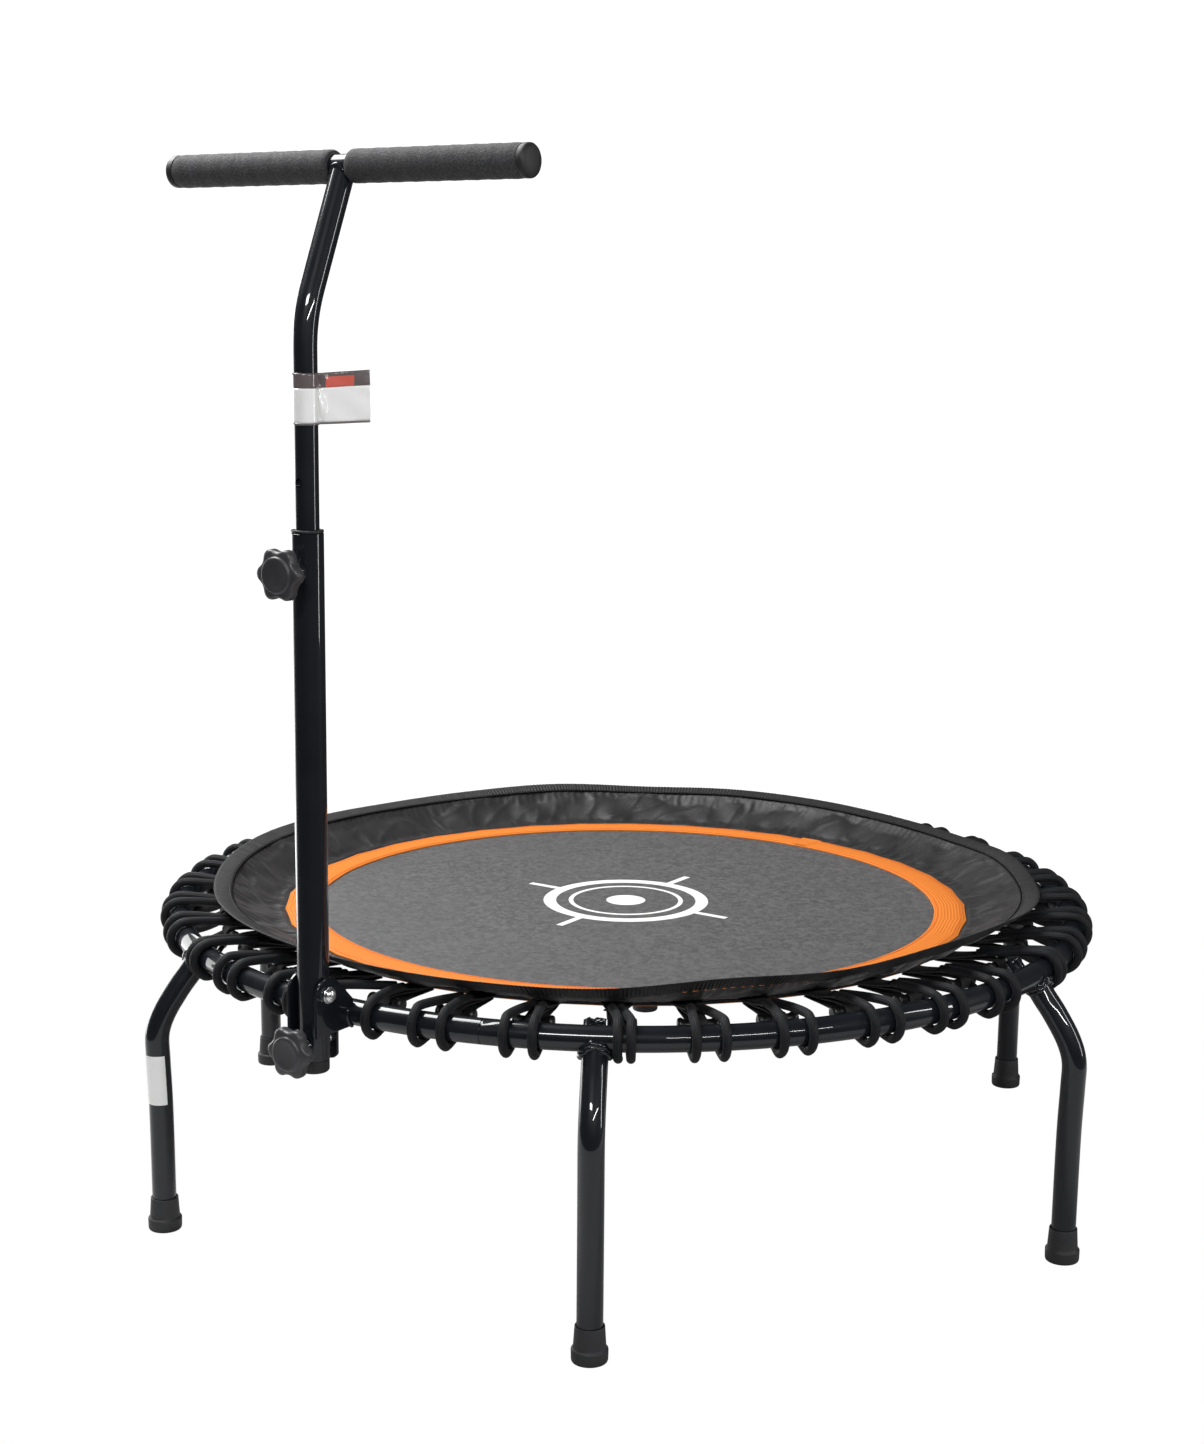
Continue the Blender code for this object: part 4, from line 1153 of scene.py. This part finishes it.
def build_cover():
    """The cover, relaxed by the cloth solver and cut into sectors."""
    rows = cover_points()
    rows = relax_cover(rows)
    mesh = Shape().skin(rows).mesh("cover_whole", closed=False)
    normals = [Vector(v.normal) for v in mesh.vertices]
    bpy.data.meshes.remove(mesh)
    per_sector = COVER_STEPS // SECTORS
    for number in range(SECTORS):
        columns = [(number * per_sector + c) % COVER_STEPS for c in range(per_sector + 1)]
        shape = Shape().skin([[row[c] for c in columns] for row in rows], round_=False)
        shape.uvs = cover_uvs(number, per_sector)
        name = f"cover_{number + 1:02d}"
        mesh = shape.mesh(name, closed=False)
        middle = (number + 0.5) * 360 / SECTORS
        node = None if number else "skirt"
        obj = bend_piece(name, mesh, ["skirt_fabric"], 180, middle, MAT_R, SEAM_R - 1 * MM, node)
        order = [r * COVER_STEPS + c for r in range(len(rows)) for c in columns]
        obj.data.normals_split_custom_set_from_vertices([normals[i] for i in order])


def cover_uvs(number, per_sector):
    """Flat cloth coordinates: U round the cover and V up it."""
    made = []
    step_u, step_v = COVER_ROUND / COVER_STEPS * 1.1, COVER_CUT_WIDTH / COVER_ROWS
    for r in range(COVER_ROWS):
        for c in range(per_sector):
            u, v = (number * per_sector + c) * step_u, r * step_v
            made.append(((u, v), (u + step_u, v), (u + step_u, v + step_v), (u, v + step_v)))
    return made


def binding_section(degrees):
    """The elastic's puffed cross-section, ribbed across by its gathers."""
    seam = rim_height(SEAM_HEIGHTS_MM, degrees)
    edge = rim_height(EDGE_HEIGHTS_MM, degrees)
    phase = radians(degrees) * GATHER_COUNT + 5 * drift(degrees, 16, 3.3)
    rib = 0.5 + 0.5 * sin(phase)
    rib = rib**0.7 * (0.75 + 0.35 * drift(degrees, 60, 6.1))
    inner, outer = Vector((SEAM_R - 0.5 * MM, seam)), Vector((EDGE_R - 0.9 * MM + 0.5 * MM * rib, edge))
    along = outer - inner
    out = Vector((-along.y, along.x)).normalized()
    shares = ((0.0, 0.35), (0.06, 0.75), (0.25, 1.0), (0.55, 1.0), (0.85, 0.85), (0.97, 0.5), (1.0, 0.0))
    upper = [inner + along * share + out * puff * (0.55 + 1.25 * rib) * MM for share, puff in shares]
    lower = [inner + along * share - out * puff * (0.5 + 1.1 * rib) * MM for share, puff in shares[-2::-1]]
    return upper + lower


def seam_shade_section(degrees):
    """A thin near-black tube along the seam: painted shade where the cover meets its elastic."""
    level = rim_height(SEAM_HEIGHTS_MM, degrees) + 0.5 * MM
    return [(SEAM_R - 1.0 * MM + MM * cos(t), level + MM * sin(t)) for t in turns(8)]


def build_binding():
    """The elastic, the stitches of its seam and the line of painted shade beside them."""
    shape = ring_strip(binding_section, GATHER_COUNT * 5)
    binding = place_piece("binding", shape, "frame", "skirt_binding", "binding_tape", 60)

    def end_at(_, degrees, turn):
        height = rim_height(SEAM_HEIGHTS_MM, degrees + turn)
        slope = rim_height(EDGE_HEIGHTS_MM, degrees) - height
        return around(SEAM_R + 1.4 * MM, degrees + turn, height + 1.5 * MM + 0.07 * slope)

    seam = Shape()
    stitch_row(seam, SEAM_R, 3.2 * MM, 0.38, 0.34 * MM, end_at)
    place_piece("binding_stitches", seam, "frame", None, "binding_tape", 60)
    # A near-black tube along the seam: painted shade.
    place_piece("seam_shade_line", ring_strip(seam_shade_section), "frame", None, "binding_tape", 60, ["seam_shade_tape"])


# ---- cords

# Loops whose strands have crept along the ring from their tab's place: tab angle, degrees moved.
CREEP = {322: -0.5, 342: -0.9, 352: -1.7}
CREEP_JITTER = 0.10  # degrees
TAB_START = (MAT_R - 3.7 * MM, MAT_TOP - 2.4 * MM)
TAB_END = (0.4400, 0.3057)
LOOP_BEND_START, LOOP_BEND_END = 0.386, 0.478  # radii where a loop leaves the mat and joins the frame


def strand_angles(centre):
    """Where a loop's two strands cross the ring, in degrees."""
    beside_leg = 60 * round(centre / 60)
    if centre == 272:
        return centre - 5.5, centre + 2.7  # this loop straddles the mast's bracket
    if 0 < centre - beside_leg < 3:
        return beside_leg + 2.45, beside_leg + 3.8  # pushed along the ring by the leg's weld
    middle = centre + CREEP.get(centre, 0.0)
    return middle - 1.6, middle + 1.6


def strand_line(tab_degrees, ring_degrees, toggle_degrees, jitter):
    """One strand: out of the tab, over and round the ring tube, and back to the toggle."""
    line = []
    for radius, share, height in ((0.4270, 0, 0.3040), (0.4420, 0.2, 0.3068), (0.4680, 0.62, 0.3108)):
        line.append(around(radius, tab_degrees * (1 - share) + ring_degrees * share, height))
    for radius, height in arc(RING_R, RING_Z, WRAP_R, (94, 62, 30, 0, -30, -60, -90)):
        line.append(around(radius, ring_degrees + jitter, height))
    line.append(around(0.4700, ring_degrees * 0.5 + toggle_degrees * 0.5, 0.2830))
    line.append(around(TOGGLE[0], toggle_degrees, TOGGLE[1] - 1 * MM))
    return smooth_line(line, 7)


def tab_shape(shape, centre):
    """A folded webbing tab, waisted towards the toggle, with a slight dish across."""
    rows, columns = 16, 10
    rings = []
    for r in range(rows + 1):
        s = r / rows
        radius, height = (a + share * (b - a) for a, b, share in zip(TAB_START, TAB_END, (s, s**1.3)))
        half = 1.3 + 1.35 * (1 - s) ** 2.2 + 0.25 * max(0.0, s - 0.85) / 0.15
        ring = []
        for lift, order in ((1.3 * MM, 1), (-1.3 * MM, -1)):
            for c in range(columns + 1)[::order]:
                across = 2 * c / columns - 1
                dish = 1.4 * MM * s * (1 - s) * 4 * (across**2 - 0.4)
                level = height - dish + lift * (1 - 0.35 * across**6)
                ring.append(around(radius, centre + half * across, level))
        rings.append(ring)
    shape.skin(rings, slot=1, caps=True)


def strap_shape(shape, centre):
    """A webbing strap from under the mat's edge, round the toggle's waist and back."""
    radius, height = TOGGLE
    wrap, lift = 6.6 * MM, 0.9 * MM
    line = [(MAT_R + 1 * MM, MAT_TOP - 3.4 * MM), (0.408, 0.2960), (0.432, 0.2990)]
    line += arc(radius, height, wrap, (115, 80, 45, 10, -25, -60, -95, -125))
    line += [(0.431, 0.2905), (0.408, 0.2915), (MAT_R + 1 * MM, MAT_TOP - 6.2 * MM)]
    line = smooth_line([Vector(point) for point in line], 3)
    ends = [line[0], *line, line[-1]]
    rings = []
    for (reach, level), a, b in zip(line, ends, ends[2:]):
        nx, nz = Vector((a.y - b.y, b.x - a.x)).normalized()  # square to the line
        half = 0.95 + 0.55 * min(1.0, abs(reach - radius) / 0.05)
        ring = []
        for side in (1, -1):
            for across in (-1, -0.92, -0.4, 0.4, 0.92, 1):
                off = side * lift * (0.5 if abs(across) == 1 else 1)
                ring.append(around(reach + nx * off, centre + half * across * side, level + nz * off))
        rings.append(ring)
    shape.skin(rings, slot=1, caps=True)


def toggle_shape(shape, centre):
    """A moulded bobbin with flared ends and a waist that the strap wraps."""
    half = ((-1.0, 3.0), (-0.985, 5.6), (-0.95, 6.6), (-0.86, 7.2), (-0.78, 7.0), (-0.70, 5.9), (-0.60, 5.2))
    profile = [*half, (-0.3, 5.0), (0.3, 5.0), *((-share, radius) for share, radius in reversed(half))]
    line = [around(TOGGLE[0], centre + 2.6 * share, TOGGLE[1]) for share, _ in profile]
    shape.skin(tube_rings(line, [radius * MM for _, radius in profile], 24, UP), slot=2, caps=True)


def build_loops():
    """Each loop is its cord, tab, strap and toggle as one piece."""
    random.seed(11)
    for number in range(360 // LOOP_STEP):
        centre = LOOP_START + LOOP_STEP * number
        shape = Shape()
        for side, ring_degrees in zip((-1, 1), strand_angles(centre)):
            jitter = random.uniform(-CREEP_JITTER, CREEP_JITTER)
            line = strand_line(centre + side * 0.55, ring_degrees, centre + side * 1.5, jitter)
            shape.skin(tube_rings(line, CORD_R, 18), slot=0, caps=True, uv_shift=(number * 0.01, 0))
        tab_shape(shape, centre)
        strap_shape(shape, centre)
        toggle_shape(shape, centre)
        name = f"loop_{number + 1:02d}"
        node = None if number % 6 else f"bungee_set_{number // 6 + 1}"
        looks = ["bungee_cord", "tab_webbing", "toggle_plastic"]
        bend_piece(name, shape.mesh(name), looks, 50, centre, LOOP_BEND_START, LOOP_BEND_END, node)


# ---- stage, light and camera

FLOOR_R, FLOOR_SIDES = 1.35, 96


def seen_apart(tree, lit, seen, output):
    """Wires a surface so that the camera sees one shader and the light meets the other."""
    path, mix = tree.nodes.new("ShaderNodeLightPath"), tree.nodes.new("ShaderNodeMixShader")
    tree.links.new(path.outputs["Is Camera Ray"], mix.inputs[0])
    tree.links.new(lit.outputs[0], mix.inputs[1])
    tree.links.new(seen.outputs[0], mix.inputs[2])
    tree.links.new(mix.outputs[0], tree.nodes[output].inputs["Surface"])


def build_stage():
    """A plain white floor, and soft lights placed so that the black tubes keep thin highlights."""
    paint = Paint("pale_floor", (0.48, 0.48, 0.48), 0.9)
    seen_apart(paint.tree, paint.shader, paint.tree.nodes.new("ShaderNodeEmission"), "Material Output")
    shape = Shape()
    shape.points = [polar(FLOOR_R, angle) for angle in turns(FLOOR_SIDES)]
    shape.cap(range(FLOOR_SIDES))
    floor = add_piece("floor", shape.mesh("floor"), ["pale_floor"])
    floor.location.z = -0.2 * MM

    world = bpy.data.worlds.new("studio")
    bpy.context.scene.world = world
    world.use_nodes = True
    tree = world.node_tree
    dim, bright = tree.nodes["Background"], tree.nodes.new("ShaderNodeBackground")
    for background, strength in ((dim, 0.05), (bright, 1.1)):
        background.inputs["Color"].default_value = (1, 1, 1, 1)
        background.inputs["Strength"].default_value = strength
    seen_apart(tree, dim, bright, "World Output")

    # Each light: its place, what it faces, its width and height, and its power.
    for name, place, target, size, power in (
        ("overhead", (-1.1, -0.3, 2.2), (0, 0, 0.3), (1.3, 1.2), 72),
        ("left_wall", (-2.3, 0.45, 0.35), (0, -0.45, 0.35), (2.5, 1.5), 42),
        ("right_strip", (2.4, 0.9, 1.2), (0, -0.3, 0.6), (0.16, 2.0), 17),
        ("low_strip", (2.6, -1.4, 1.7), (0.3, -0.4, 0.27), (2.1, 0.06), 26),
        ("front_fill", (1.1, -2.7, 2.35), (0, 0, 0.35), (1.0, 0.3), 36),
    ):
        data = bpy.data.lights.new(name, "AREA")
        data.shape = "RECTANGLE"
        data.size, data.size_y = size
        data.energy = power
        light = link(name, data)
        light.location = place
        light.rotation_euler = (Vector(target) - Vector(place)).to_track_quat("-Z", "Y").to_euler()


def build_camera():
    """The viewing angle of a product shot: right of the handle and a little above the bed."""
    data = bpy.data.cameras.new("camera")
    data.lens = 57.0
    data.sensor_width = 36
    data.clip_start = 0.05
    camera = link("camera", data)
    place = Vector((1.36875, RING_Y - 2.10505, 0.95788))
    target = Vector((-0.0299, RING_Y - 0.0072, 0.4998))
    roll = radians(0.556)
    look = (target - place).to_track_quat("-Z", "Y").to_matrix()
    camera.matrix_world = shifted(place) @ (look @ Matrix.Rotation(roll, 3, "Z")).to_4x4()
    bpy.context.scene.camera = camera
    settings = bpy.context.scene.view_settings
    settings.view_transform = "Standard"
    settings.look = "None"


build_camera()
build_stage()
build_ring()
build_legs()
build_leg_label()
build_bracket()
build_pivot()
build_mast()
build_bosses()
build_knob("height", HEIGHT_KNOB_Z)
build_knob("fold", FOLD_KNOB_Z)
build_riser()
build_handlebar()
build_tag()
build_mat()
build_under_strips()
build_band()
build_stitches()
build_cover()
build_binding()
build_loops()
